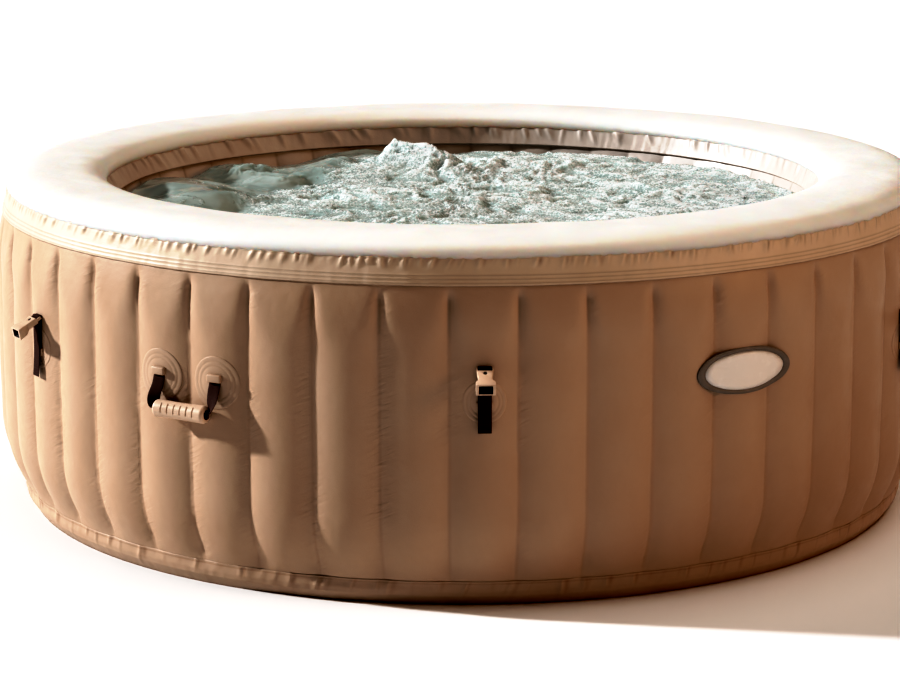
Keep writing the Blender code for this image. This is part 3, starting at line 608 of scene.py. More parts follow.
@dataclass(frozen=True)
class Finishes:
    """All materials of the tub, made once."""

    wall: bpy.types.Material
    band: bpy.types.Material
    rim: bpy.types.Material
    inside: bpy.types.Material
    sheet: bpy.types.Material
    patch: bpy.types.Material
    plastic: bpy.types.Material
    dark: bpy.types.Material
    webbing: bpy.types.Material
    thread: bpy.types.Material
    badge_border: bpy.types.Material
    badge_face: bpy.types.Material
    water: bpy.types.Material

    @classmethod
    def make(cls) -> "Finishes":
        """Builds every material."""
        # The third colour of each vinyl is painted into its creases, seams and grooves as shade.
        tan, tan_shade, tan_crease_shade = (0.505, 0.390, 0.300), (0.488, 0.370, 0.280), (0.30, 0.185, 0.12)
        return cls(
            wall=Vinyl("wall_vinyl", tan, tan_shade, tan_crease_shade, wrinkle=0.0016).make(),
            band=Vinyl("band_vinyl", (0.64, 0.535, 0.435), (0.605, 0.50, 0.40), (0.24, 0.17, 0.12)).make(),
            rim=Vinyl(
                "rim_vinyl", (0.85, 0.785, 0.745), (0.83, 0.76, 0.72), (0.62, 0.49, 0.39), glow=0.9
            ).make(),
            inside=Vinyl("inner_vinyl", (0.58, 0.515, 0.465), (0.54, 0.47, 0.42), (0.25, 0.195, 0.15)).make(),
            sheet=Vinyl("base_sheet", (0.28, 0.27, 0.26), (0.22, 0.21, 0.20), (0.12, 0.12, 0.12)).make(),
            patch=Vinyl(
                "patch_vinyl", (0.518, 0.404, 0.316), (0.5, 0.387, 0.3), (0.41, 0.3, 0.215),
                slack_depth=0.0002,
            ).make(),
            plastic=Moulding("tan_moulding", (0.60, 0.48, 0.385), (0.645, 0.525, 0.425)).make(),
            # Dark moulding of the locks, also given to the buckles' mouths as painted shade.
            dark=Moulding("dark_moulding_and_mouth_shade", (0.045, 0.035, 0.030), (0.075, 0.062, 0.055)).make(),
            webbing=Webbing("black_webbing", (0.085, 0.048, 0.040), (0.024, 0.014, 0.012)).make(),
            thread=Moulding("sewing_thread", (0.10, 0.075, 0.065), (0.13, 0.10, 0.09), (0.60, 0.75)).make(),
            badge_border=Moulding("badge_border", (0.235, 0.21, 0.19), (0.27, 0.24, 0.22)).make(),
            badge_face=Moulding("badge_face", (0.78, 0.755, 0.73), (0.82, 0.80, 0.775), (0.30, 0.42)).make(),
            water=Foam(
                "churned_water", (0.345, 0.40, 0.38), (0.435, 0.485, 0.465), (0.63, 0.65, 0.645)
            ).make(),
        )


@dataclass
class OuterWall:
    """Fluted outer wall: panels that bulge between welded seams, creased and puckered beside them."""

    columns_per_panel: int = 24
    rows: int = 80
    flute: float = 0.0122
    crown: float = 0.0016
    belly: float = 0.0030
    sharpness: float = 2.0
    fade_top: float = 0.040
    point: float = 6.0
    point_reach: float = 0.13
    tuck: float = 0.034
    tuck_height: float = 0.18
    drain_reach: float = 0.15
    fade_low: float = 0.050
    soften: float = 0.042
    wander: float = 0.012
    pucker: float = 0.0016
    pucker_reach: float = 0.16
    pucker_length: float = 0.008
    slack: float = 0.0011
    wrinkle_from: float = 0.25
    wrinkle_slope: float = 0.030
    back: float = 0.004
    sunk: float = 0.004
    sunk_reach: float = 0.014
    collar_margin: float = 0.004
    wander_length: float = 0.07
    pucker_drift: float = 0.09
    pucker_patch: float = 0.13
    slack_length: float = 0.11
    wrinkle_patch: float = 0.12
    # Painted shade along the seams: where across a panel it starts and how dark it is.
    seam_start: float = 0.93
    seam_shade: float = 0.18

    def __post_init__(self) -> None:
        """Reads the wall's solid and prepares its profile and noise."""
        self.heights, self.radii = crest_profile("outer_wall")
        self.low, self.top = self.heights[0], self.heights[-1]
        self.collar_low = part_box("outer_collar")[0].z
        self.hem_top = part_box("bottom_hem")[1].z
        spot = sum(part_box("drain_valve"), Vector()) / 2
        self.drain, self.drain_low = math.atan2(spot.x, -spot.y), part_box("drain_valve")[0].z
        self.ripple = Ripple(Seed.WALL)

    def base(self, z: np.ndarray) -> np.ndarray:
        """Radius of the panels' crowns at a height, with the solid's corners rounded off."""
        offsets = np.linspace(-1, 1, 9) * self.soften
        levels = [np.interp(np.clip(z + o, self.low, self.top), self.heights, self.radii) for o in offsets]
        share = np.clip((z - self.low) / (self.top - self.low), 0, 1)
        radius = sum(levels) / len(levels) + self.belly * np.sin(math.pi * share) ** 2
        under_collar = self.sunk * ease((z - self.collar_low) / self.sunk_reach)
        return radius - under_collar

    def tucked(self, theta: np.ndarray, z: np.ndarray) -> np.ndarray:
        """How far the foot is drawn in: up to the usual height, or up to the drain where that is."""
        away = (theta - self.drain + math.pi) % (2 * math.pi) - math.pi
        near = np.exp(-((away * self.radii.max() / self.drain_reach) ** 2))
        height = self.tuck_height + (self.drain_low - self.tuck_height) * near
        return self.tuck * (1 - ease(z / height))

    def depth(self, z: np.ndarray) -> np.ndarray:
        """Depth of the creases at a height, from sharp points under the collar to the hem."""
        falling = ease((self.collar_low + self.collar_margin - z) / self.fade_top)
        rising = ease((z - self.hem_top * 0.6) / self.fade_low)
        return self.flute * np.minimum(falling, rising)

    def radius(self, theta: np.ndarray, z: np.ndarray, share_of_flute: float = 1.0) -> np.ndarray:
        """Radius of the wall's surface.

        Args:
            theta: Angles round the tub.
            z: Heights.
            share_of_flute: Part of the crease depth to follow, one for all of it.

        Returns:
            The radius at each place.
        """
        theta, z = np.broadcast_arrays(theta, z)
        place = theta / PITCH + 0.5
        seam = np.round(place)
        place = place + self.wander * self.ripple.at(seam % PANELS * 5.3, z / self.wander_length)
        across = np.abs(2 * (place % 1.0) - 1)
        depth = self.depth(z)
        sharpness = self.sharpness + self.point * (1 - ease((self.collar_low - z) / self.point_reach))
        radius = self.base(z) - self.tucked(theta, z) + self.crown
        radius = radius - depth * share_of_flute * across**sharpness
        near = ease((across - 1 + self.pucker_reach) / self.pucker_reach)
        side = np.sign((place % 1.0) - 0.5)
        drift = self.ripple.at(place % PANELS, z / self.pucker_drift)
        lean = z / self.pucker_length + side * across * 2.1 + drift * 2
        folds = self.ripple.at(seam % PANELS * 3.7 + side * 1.3, lean)
        patchy = ease(0.5 + self.ripple.at(seam % PANELS * 2.9 + side, z / self.pucker_patch + 40))
        radius = radius + self.pucker * near * folds * patchy * depth / self.flute * share_of_flute
        broad = self.ripple.at(place % PANELS, z / self.slack_length + 9, PANELS)
        return radius + self.slack * broad * (1 - across) * depth / self.flute

    def gathered(self, theta: np.ndarray, z: np.ndarray, across: np.ndarray) -> dict[str, np.ndarray]:
        """Where fine wrinkles run: out of the seams, slanting, in patches.

        Args:
            theta: Angles of the columns.
            z: Heights of the rows.
            across: Nought in the middle of a panel and one at its seams.

        Returns:
            Places along and over the wrinkles in metres, and how strong they are.
        """
        side = np.sign(((theta / PITCH + 0.5) % 1.0) - 0.5)
        seam = np.round(theta / PITCH + 0.5) % PANELS
        patches = ease(0.55 + 1.3 * self.ripple.at(seam * 1.7 + side * 0.8, z / self.wrinkle_patch + 70))
        near = ease((across - self.wrinkle_from) / (1 - self.wrinkle_from))
        strong = near * patches * self.depth(z) / self.flute
        wave = z + self.wrinkle_slope * side * (1 - across)
        return {"girth": theta * self.radii.max() + np.zeros_like(z), "wave": wave, "gather": strong}

    def build(self, finishes: Finishes) -> bpy.types.Object:
        """Makes the wall.

        Args:
            finishes: The materials.

        Returns:
            The wall's piece.
        """
        theta = round_about(PANELS * self.columns_per_panel)
        share = np.linspace(0, 1, self.rows)
        share = share - 0.10 * np.sin(2 * math.pi * share) / (2 * math.pi) * 4
        z = (self.top + (self.low - self.top) * np.sort(share))[:, None]
        radius = self.radius(theta, z)
        across = np.abs(2 * ((theta / PITCH + 0.5) % 1.0) - 1)
        # Painted shade along the seams, fading with the creases' depth.
        line = ease((across - self.seam_start) / (1 - self.seam_start))
        shade_and_welds = line * self.depth(z) / self.flute * self.seam_shade
        shade_and_welds = shade_and_welds + np.zeros_like(radius)
        points = turned_skin(radius, z, theta)
        ends = turned_skin(radius[[-1, 0]] - self.back, z[[-1, 0]], theta)
        held = {"shade_and_welds": shade_and_welds, **self.gathered(theta, z, across)}
        held = {name: np.vstack([value, value[[-1, 0]]]) for name, value in held.items()}
        mesh = lofted("outer_wall_skin", np.vstack([points, ends]), True, attributes=held)
        piece = place("outer_wall_skin", mesh, finishes.wall, TUB)
        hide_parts("outer_wall")
        return piece


@dataclass
class Rim:
    """White rim: a full, soft arch that puckers along both its seams."""

    columns: int = 768
    rows: int = 44
    gather: float = 0.0007
    gather_width: float = 0.011
    gather_reach: float = 0.16
    slack: float = 0.0016
    squareness: float = 0.66
    fullness: float = 0.80
    tuck: float = 0.009
    slack_cells: int = 40

    def __post_init__(self) -> None:
        """Reads the rim's solid and the seams of its collars."""
        self.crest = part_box("top_rim")[1].z
        self.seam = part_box("outer_collar")[1].z
        radii = np.hypot(*node_points("top_rim")[:, :2].T)
        self.inner, self.outer = radii.min(), radii.max()
        self.ripple = Ripple(Seed.RIM)

    def build(self, finishes: Finishes) -> bpy.types.Object:
        """Makes the rim from its inner tuck over the crest to its outer tuck.

        Args:
            finishes: The materials.

        Returns:
            The rim's piece.
        """
        theta = round_about(self.columns)
        turn = np.linspace(math.pi, 0, self.rows)[:, None]
        reach = np.sign(np.cos(turn)) * np.abs(np.cos(turn)) ** self.squareness
        rise = np.sin(turn).clip(0) ** self.fullness
        middle, half = (self.inner + self.outer) / 2, (self.outer - self.inner) / 2
        arc = self.outer * theta
        cells = round(2 * math.pi * self.outer / self.gather_width)
        fold = self.ripple.at(theta / (2 * math.pi) * cells, turn * 1.2, cells)
        edge = np.exp(-np.minimum(turn, math.pi - turn) / self.gather_reach / 2)
        broad = self.ripple.at(theta / (2 * math.pi) * self.slack_cells, turn * 1.6 + 7, self.slack_cells)
        lift = self.gather * fold * edge + self.slack * broad * rise
        radius = middle + half * reach + lift * np.cos(turn)
        z = self.seam + (self.crest - self.seam) * rise + lift * np.sin(turn) - self.slack * rise
        under = np.array([self.outer - self.tuck / 2, self.inner + self.tuck / 2])[:, None]
        radius = np.vstack([radius, under + np.zeros_like(arc)])
        z = np.vstack([z, np.full((2, self.columns), self.seam - self.tuck)])
        # Painted shade in the valleys along both seams, and over the tucks underneath.
        shade_and_welds = np.vstack([edge**4 * 0.30 + np.zeros_like(arc), np.ones((2, self.columns))])
        mesh = lofted("rim_skin", turned_skin(radius, z, theta), True, attributes={"shade_and_welds": shade_and_welds})
        piece = place("rim_skin", mesh, finishes.rim, TUB)
        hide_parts("top_rim")
        return piece


@dataclass
class Band:
    """Vinyl band welded over a seam: pleated along its upper edge, with weld lines along the lower one."""

    name: str
    node: str
    seed: Seed
    outward: float = 1.0
    columns: int = 2400
    rows: int = 30
    proud: float = 0.0006
    thickness: float = 0.0022
    pleats: int = 360
    pleat: float = 0.0024
    pleat_width: tuple[float, float] = (0.0035, 0.0075)
    pleat_length: tuple[float, float] = (0.36, 0.58)
    pleat_lean: float = 0.006
    pleat_slant: float = -0.014
    slack: float = 0.0008
    slack_cells: int = 60
    creep_cells: int = 520
    weld: float = 0.0007
    welds: tuple[float, ...] = (0.10, 0.24, 0.38)
    weld_width: float = 0.045
    # Strength of the dark line along the lower edge.
    edge: float = 0.9
    bulge: float = 0.0
    wall: Optional[OuterWall] = None
    hug_from: float = 0.55

    def folded(self, theta: np.ndarray, up: np.ndarray, girth: float) -> tuple[np.ndarray, np.ndarray]:
        """Pleats that start at the upper edge, each with its own width, length and lean.

        Args:
            theta: Angles of the columns.
            up: Share of the height of each row.
            girth: Radius that the angles are measured at.

        Returns:
            How far each place is lifted, and how much shade is painted in the valley beside each pleat.
        """
        rng, theta = np.random.default_rng(self.seed.value), np.ravel(theta)
        lift, dark = np.zeros((len(up), len(theta))), np.zeros((len(up), len(theta)))
        places = np.arange(self.pleats) + rng.uniform(-0.6, 0.6, self.pleats)
        for centre in places / self.pleats * 2 * math.pi:
            width, length = rng.uniform(*self.pleat_width), rng.uniform(*self.pleat_length)
            lean, height = rng.normal(self.pleat_slant, self.pleat_lean), self.pleat * rng.uniform(0.2, 1.0)
            away = ((theta - centre + math.pi) % (2 * math.pi) - math.pi) * girth
            near = np.abs(away) < 5 * width + abs(self.pleat_slant) + 3 * self.pleat_lean
            side = (away[near] - lean * (1 - up)) / width
            taper = ease((up - 1 + length) / (0.8 * length)) * (1 - 0.5 * ease((up - 0.88) / 0.12))
            lift[:, near] += height * taper * np.exp(-side**2) * (1 + 0.6 * np.tanh(2 * side))
            # Painted shade in the valley on one side of the pleat.
            dark[:, near] += height / self.pleat * taper * np.exp(-((side - 1.5) / 0.6) ** 2)
        return lift, dark

    def build(self, wall_finish: bpy.types.Material) -> bpy.types.Object:
        """Makes the band.

        Args:
            wall_finish: Its material.

        Returns:
            The band's piece.
        """
        ripple = Ripple(self.seed)
        heights, radii = crest_profile(self.node)
        low, top = heights[0], heights[-1]
        theta = round_about(self.columns)
        up = np.linspace(1, 0, self.rows)[:, None]
        z = low + (top - low) * up
        folds, dark = self.folded(theta, up, radii.mean())
        ridges = sum(bump_at(up, w, self.weld_width) for w in self.welds) + np.zeros_like(up)
        broad = ripple.at(theta / (2 * math.pi) * self.slack_cells, up * 0.8 + 3, self.slack_cells)
        creep = ripple.at(theta / (2 * math.pi) * self.creep_cells, up * 0.6 + 13, self.creep_cells)
        lift = self.proud + folds + self.weld * ridges + self.slack * (broad + 0.5 * creep)
        lift = lift + self.bulge * np.sin(math.pi * up) - (self.wall.tucked(theta, z) if self.wall else 0.0)
        radius = np.interp(z, heights, radii) + self.outward * lift
        if self.wall:
            close = ease((up - self.hug_from) / (1 - self.hug_from))
            radius = radius * (1 - close) + (self.wall.radius(theta, z) + self.proud + folds) * close
        # Painted shade in the valley beside each pleat, plus darker weld lines and a dark line along the
        # lower edge.
        shade_and_welds = (0.45 * dark + 0.35 * ridges + bump_at(up, 0.0, 0.05) * self.edge).clip(0, 1)
        points = turned_skin(radius, z, theta)
        ends = turned_skin(radius[[-1, 0]] - self.outward * self.thickness, z[[-1, 0]], theta)
        # The band's thin end faces get the full painted shade.
        values = np.vstack([shade_and_welds + np.zeros_like(radius), np.ones((2, self.columns))])
        mesh = lofted(self.name, np.vstack([points, ends]), True, attributes={"shade_and_welds": values})
        piece = place(self.name, mesh, wall_finish, TUB)
        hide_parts(self.node)
        return piece


@dataclass
class InnerWall:
    """Inner wall of the basin: lightly quilted between the inner ends of the tie webs."""

    columns_per_panel: int = 16
    rows: int = 60
    flute: float = 0.0060
    slack: float = 0.0016
    thickness: float = 0.004

    def build(self, finishes: Finishes) -> bpy.types.Object:
        """Makes the inner wall.

        Args:
            finishes: The materials.

        Returns:
            Its piece.
        """
        ripple = Ripple(Seed.INSIDE)
        points = node_points("inner_wall")
        radii, levels = np.hypot(points[:, 0], points[:, 1]), np.round(points[:, 2], 4)
        heights = np.unique(levels)
        inner = np.array([radii[levels == z].min() for z in heights])
        theta = round_about(PANELS * self.columns_per_panel)
        z = np.linspace(heights[-1], heights[0], self.rows)[:, None]
        across = np.abs(2 * ((theta / PITCH + 0.5) % 1.0) - 1)
        share = (z - heights[0]) / (heights[-1] - heights[0])
        fade = ease(share / 0.1) * ease((1 - share) / 0.12)
        seam = np.round(theta / PITCH + 0.5) % PANELS
        folds = ripple.at(seam * 3.1, z / 0.02) * ease((across - 0.7) / 0.3) * 0.0014
        broad = ripple.at(theta / PITCH, z / 0.12, PANELS) * self.slack
        radius = np.interp(z, heights, inner) + (self.flute * (across**2.2 - 1) + folds + broad) * fade
        # Painted shade along the seams.
        shade_and_welds = ease((across - 0.9) / 0.1) * fade * 0.6
        skin = turned_skin(radius, z, theta)
        ends = turned_skin(radius[[-1, 0]] + self.thickness, z[[-1, 0]], theta)
        values = np.vstack([shade_and_welds, shade_and_welds[[-1, 0]]])
        mesh = lofted("inner_wall_skin", np.vstack([skin, ends]), True, attributes={"shade_and_welds": values})
        piece = place("inner_wall_skin", mesh, finishes.inside, TUB)
        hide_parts("inner_wall")
        return piece


@dataclass
class Water:
    """Churned water in the basin: smooth hills on one side, peaks and fine froth over the rest."""

    level: float = 0.604
    depth: float = 0.030
    rings: int = 150
    sectors: int = 560
    hill: float = 0.018
    hill_length: float = 0.20
    chop: float = 0.0065
    chop_length: float = 0.075
    fine: float = 0.0026
    fine_length: float = 0.016
    calm_from: tuple[float, float] = (-0.65, -0.45)
    calm_to: tuple[float, float] = (-0.20, 0.62)
    calm_edge: float = 0.07
    islands: float = 0.24
    warp: float = 0.05
    warp_length: float = 0.13
    wall_gap: float = 0.001
    spouts: tuple[tuple[float, float, float, float], ...] = (
        (-0.100, 0.47, 0.062, 0.042), (-0.03, 0.45, 0.09, 0.018), (0.10, 0.44, 0.10, 0.022),
        (0.30, 0.40, 0.11, 0.024), (0.44, 0.10, 0.12, 0.020), (0.10, 0.10, 0.15, 0.018),
        (-0.20, 0.00, 0.13, 0.022), (-0.12, -0.36, 0.13, 0.014), (0.32, -0.30, 0.13, 0.016),
        (-0.44, 0.40, 0.10, 0.026),
    )

    def height(self, x: np.ndarray, y: np.ndarray) -> tuple[np.ndarray, np.ndarray]:
        """Height of the surface above its level and how frothy it is.

        Args:
            x: Places along X.
            y: Places along Y.

        Returns:
            Heights, and froth between nought and one.
        """
        ripple = Ripple(Seed.WATER)
        warp = self.warp * ripple.layered(x / self.warp_length + 60, y / self.warp_length + 20, 3)
        u, v = x + warp, y - 0.7 * warp
        hills = ripple.layered(u / self.hill_length + 40, v / self.hill_length + 90, 2)
        ridged = 1 - np.abs(ripple.layered(u / self.chop_length + 70, v / self.chop_length + 10, 3))
        fine = 1 - np.abs(ripple.layered(u / self.fine_length + 10, v / self.fine_length + 50, 3))
        run = np.subtract(self.calm_to, self.calm_from)
        run = run / np.hypot(*run)
        left = (y - self.calm_from[1]) * run[0] - (x - self.calm_from[0]) * run[1]
        calm = ease(0.5 + (left + 0.8 * warp) / self.calm_edge)
        peaks = sum(h * np.exp(-((np.hypot(u - a, v - b) / r) ** 1.4)) for a, b, r, h in self.spouts)
        peaks = peaks * (0.45 + 0.45 * ridged + 0.25 * fine)
        broken = self.chop * (ridged - 0.5) + self.fine * (fine - 0.5)
        height = self.hill * (0.40 + 1.00 * calm) * hills + peaks + (1 - 0.97 * calm) * broken
        froth = 0.50 + 0.55 * (ridged - 0.55) + 0.35 * (fine - 0.5) + 2.5 * peaks + 0.16 * x
        near = ease(1.2 - left / self.islands)
        island = 0.35 * near * ease((ridged - 0.72) / 0.16) * ease(0.4 + 1.5 * hills)
        return height, (froth * (1 - calm) + island * calm).clip(0, 1)

    def build(self, finishes: Finishes) -> bpy.types.Object:
        """Makes the water's body with its broken surface.

        Args:
            finishes: The materials.

        Returns:
            The water's piece.
        """
        points = node_points("inner_wall")
        wall = np.hypot(points[:, 0], points[:, 1]).min() - self.wall_gap
        theta = round_about(self.sectors)
        share = np.linspace(1, 0, self.rings + 1)[:-1, None] ** 0.75
        x, y = wall * share * np.sin(theta), -wall * share * np.cos(theta)
        height, froth = self.height(x, y)
        top = np.stack([x, y, self.level + height], axis=-1)
        bottom = np.stack([x[0], y[0], np.full(self.sectors, self.level - self.depth)], axis=-1)[None]
        foam = np.vstack([froth[:1], froth])
        mesh = lofted("water", np.vstack([bottom, top]), attributes={"foam": foam})
        return place("water", mesh, finishes.water, TUB)


@dataclass
class WallPatch:
    """Sheet that lies on the fluted wall: a round patch or an oval badge in rings from its middle."""

    name: str
    theta: float
    z: float
    half_width: float
    half_height: float
    thickness: float
    rings: tuple[tuple[float, float], ...]
    follow: float = 1.0
    sectors: int = 72
    inner: tuple[float, float] = (0.0, 0.0)
    skirt: float = 0.0025

    def mesh(self, wall: OuterWall) -> bpy.types.Mesh:
        """Builds the sheet on the wall.

        Args:
            wall: The wall that it lies on.

        Returns:
            The mesh in the row frame.
        """
        turn = round_about(self.sectors)
        shares = np.array([share for share, _ in self.rings])[:, None]
        lifts = np.array([lift for _, lift in self.rings])[:, None] * self.thickness
        wide = self.inner[0] + (self.half_width - self.inner[0]) * shares
        high = self.inner[1] + (self.half_height - self.inner[1]) * shares
        u, v = wide * np.cos(turn), high * np.sin(turn)
        theta, z = self.theta + u / wall.radii.max(), self.z + v
        surface = np.maximum(wall.radius(theta, z, self.follow), wall.radius(theta, z))
        front = turned_skin(surface + lifts, z, theta)
        back = turned_skin(surface[[0, -1]] - self.skirt, z[[0, -1]], theta[[0, -1]])
        # Painted shade in the low grooves between the rings and on the skirt underneath.
        shade_and_welds = np.array([1.0 if lift < 0.75 else 0.0 for _, lift in self.rings])[:, None]
        values = np.vstack([np.ones((1, self.sectors)), shade_and_welds * 0.20 + np.zeros_like(u)])
        if any(self.inner):
            rings = np.vstack([back[:1], front, back[1:]])
            values = np.vstack([values, values[:1]])
            return lofted(self.name, rings, True, attributes={"shade_and_welds": values})
        return lofted(self.name, np.vstack([back[:1], front]), attributes={"shade_and_welds": values})


def ribbon(
    line: np.ndarray, wide: np.ndarray, half: np.ndarray, thickness: float
) -> tuple[np.ndarray, dict[str, np.ndarray]]:
    """Rings of a flat strap that follows a line.

    Args:
        line: Middle of the strap, point by point.
        wide: Direction across it at each point.
        half: Half its width at each point.
        thickness: Its thickness.

    Returns:
        The rings, and the places along and across the strap for its weave.
    """
    run = np.gradient(line, axis=0)
    run /= np.linalg.norm(run, axis=1, keepdims=True)
    wide = wide - run * np.sum(wide * run, axis=1, keepdims=True)
    wide /= np.linalg.norm(wide, axis=1, keepdims=True)
    thin = np.cross(run, wide)
    steps = np.linspace(-1, 1, 9)
    upper = np.stack([steps, np.where(np.abs(steps) == 1, 0.28, 0.5)], axis=1)
    section = np.vstack([upper, -upper])
    rings = line[:, None] + wide[:, None] * (section[None, :, :1] * half[:, None, None])
    rings = rings + thin[:, None] * (section[None, :, 1:] * thickness)
    length = np.concatenate([[0], np.cumsum(np.linalg.norm(np.diff(line, axis=0), axis=1))])
    along = length[:, None] + np.zeros(len(section))
    across = section[None, :, 0] * half[:, None]
    return rings, {"along": along, "across": across}


def softened(name: str, node: str, edge: float) -> bpy.types.Mesh:
    """Copy of a rigid CAD node with its edges rounded.

    Args:
        name: Name of the copy.
        node: The CAD node.
        edge: Width of the rounding.

    Returns:
        The mesh in the row frame.
    """
    mesh = frame["nodes"][node].data.copy()
    shape = bmesh.new()
    shape.from_mesh(mesh)
    bmesh.ops.remove_doubles(shape, verts=shape.verts, dist=1e-5)
    bmesh.ops.dissolve_limit(
        shape, angle_limit=math.radians(1.5), verts=shape.verts, edges=shape.edges,
        use_dissolve_boundaries=False,
    )
    for item in shape.edges:
        item.smooth = True
    shape.to_mesh(mesh)
    shape.free()
    made = bpy.data.objects.new(name, mesh)
    bpy.context.scene.collection.objects.link(made)
    rounding = made.modifiers.new("Rounding", "BEVEL")
    rounding.width = edge
    rounding.segments = 2
    rounding.limit_method = "ANGLE"
    rounding.angle_limit = math.radians(32)
    result = baked(made)
    result.name = name
    result.shade_smooth()
    result.set_sharp_from_angle(angle=math.radians(38))
    return result


def baked(made: bpy.types.Object) -> bpy.types.Mesh:
    """Turns an object with its modifiers into a plain mesh and removes the object."""
    bpy.context.view_layer.update()
    graph = bpy.context.evaluated_depsgraph_get()
    mesh = bpy.data.meshes.new_from_object(made.evaluated_get(graph))
    bpy.data.objects.remove(made, do_unlink=True)
    return mesh


class NodeRecipe:
    """A Geometry Nodes tree with named inputs, built once and run on a mesh."""

    def __init__(self, name: str, inputs: dict[str, tuple[str, object]]) -> None:
        """Starts the tree.

        Args:
            name: Name of the tree.
            inputs: Socket type and value of each named input.
        """
        self.tree = bpy.data.node_groups.new(name, "GeometryNodeTree")
        face = self.tree.interface
        face.new_socket("Geometry", in_out="INPUT", socket_type="NodeSocketGeometry")
        self.values = {}
        for key, (kind, value) in inputs.items():
            self.values[face.new_socket(key, in_out="INPUT", socket_type=kind).identifier] = value
        face.new_socket("Geometry", in_out="OUTPUT", socket_type="NodeSocketGeometry")
        self.given = self.tree.nodes.new("NodeGroupInput").outputs
        self.result = self.tree.nodes.new("NodeGroupOutput").inputs[0]

    def node(self, kind: str, **inputs: object) -> bpy.types.Node:
        """Adds a node and links or sets its inputs by name, with spaces as underscores."""
        made = self.tree.nodes.new(kind)
        for key, value in inputs.items():
            socket = made.inputs[key.replace("_", " ")]
            if isinstance(value, bpy.types.NodeSocket):
                self.tree.links.new(value, socket)
            else:
                socket.default_value = value
        return made

    def end(self, instances: bpy.types.NodeSocket, finish: bpy.types.Material) -> None:
        """Realizes the instances and gives them their material."""
        real = self.node("GeometryNodeRealizeInstances", Geometry=instances)
        dressed = self.node("GeometryNodeSetMaterial", Geometry=real.outputs[0], Material=finish)
        self.tree.links.new(dressed.outputs[0], self.result)

    def run(self, name: str, mesh: bpy.types.Mesh) -> bpy.types.Mesh:
        """Runs the tree on a mesh.

        Args:
            name: Name of the result.
            mesh: What the tree is given.

        Returns:
            The plain mesh that it makes.
        """
        made = bpy.data.objects.new(name, mesh)
        bpy.context.scene.collection.objects.link(made)
        modifier = made.modifiers.new(self.tree.name, "NODES")
        modifier.node_group = self.tree
        for identifier, value in self.values.items():
            modifier[identifier] = value
        result = baked(made)
        result.name = name
        return result


@dataclass
class Bubbles:
    """Loose bubbles and drops that lie on the frothy places of the water."""

    radius: float = 0.0015
    per_area: float = 3000.0
    spread: tuple[float, float] = (0.35, 1.5)
    foam: float = 0.95
    seed: Seed = Seed.BUBBLES

    def build(self, water: bpy.types.Object, finishes: Finishes) -> bpy.types.Object:
        """Scatters the bubbles.

        Args:
            water: The water's piece, whose mesh holds its foam.
            finishes: The materials.

        Returns:
            The bubbles as one piece.
        """
        recipe = NodeRecipe("scattered_bubbles", {
            "Radius": ("NodeSocketFloat", self.radius),
            "Density": ("NodeSocketFloat", self.per_area),
            "Seed": ("NodeSocketInt", self.seed.value),
        })
        foam = recipe.node("GeometryNodeInputNamedAttribute", Name="foam")
        density = recipe.node("ShaderNodeMath")
        density.operation = "MULTIPLY"
        recipe.tree.links.new(foam.outputs["Attribute"], density.inputs[0])
        recipe.tree.links.new(recipe.given["Density"], density.inputs[1])
        points = recipe.node(
            "GeometryNodeDistributePointsOnFaces", Mesh=recipe.given["Geometry"],
            Density=density.outputs[0], Seed=recipe.given["Seed"],
        )
        ball = recipe.node("GeometryNodeMeshIcoSphere", Radius=recipe.given["Radius"], Subdivisions=1)
        spread = recipe.node("FunctionNodeRandomValue")
        spread.inputs[2].default_value, spread.inputs[3].default_value = self.spread
        recipe.tree.links.new(recipe.given["Seed"], spread.inputs["Seed"])
        laid = recipe.node(
            "GeometryNodeInstanceOnPoints", Points=points.outputs["Points"],
            Instance=ball.outputs["Mesh"], Scale=spread.outputs[1],
        )
        recipe.end(laid.outputs[0], finishes.water)
        mesh = recipe.run("water_bubbles", water.data.copy())
        stored = mesh.attributes.get("foam") or mesh.attributes.new("foam", "FLOAT", "POINT")
        stored.data.foreach_set("value", np.full(len(mesh.vertices), self.foam, np.float32))
        mesh.shade_smooth()
        return place("water_bubbles", mesh, finishes.water, TUB)


@dataclass
class Stitches:
    """Row of thread stitches sewn round a closed line."""

    pitch: float = 0.0034
    length: float = 0.0024
    thickness: float = 0.0007

    def mesh(self, name: str, corners: np.ndarray, finish: bpy.types.Material) -> bpy.types.Mesh:
        """Lays stitches along a closed line.

        Args:
            name: Name of the mesh.
            corners: Corners of the line in the row frame.
            finish: The thread's material.

        Returns:
            The stitches as a plain mesh.
        """
        recipe = NodeRecipe("sewn_stitches", {
            "Pitch": ("NodeSocketFloat", self.pitch),
            "Size": ("NodeSocketVector", (self.thickness, self.thickness, self.length)),
        })
        line = recipe.node("GeometryNodeMeshToCurve", Mesh=recipe.given["Geometry"])
        holes = recipe.node("GeometryNodeCurveToPoints", Curve=line.outputs[0])
        holes.mode = "LENGTH"
        recipe.tree.links.new(recipe.given["Pitch"], holes.inputs["Length"])
        thread = recipe.node("GeometryNodeMeshCube", Size=recipe.given["Size"])
        laid = recipe.node(
            "GeometryNodeInstanceOnPoints", Points=holes.outputs["Points"],
            Instance=thread.outputs["Mesh"], Rotation=holes.outputs["Rotation"],
        )
        recipe.end(laid.outputs[0], finish)
        path = bpy.data.meshes.new(name)
        path.from_pydata(corners.tolist(), [(i, (i + 1) % len(corners)) for i in range(len(corners))], [])
        return recipe.run(name, path)


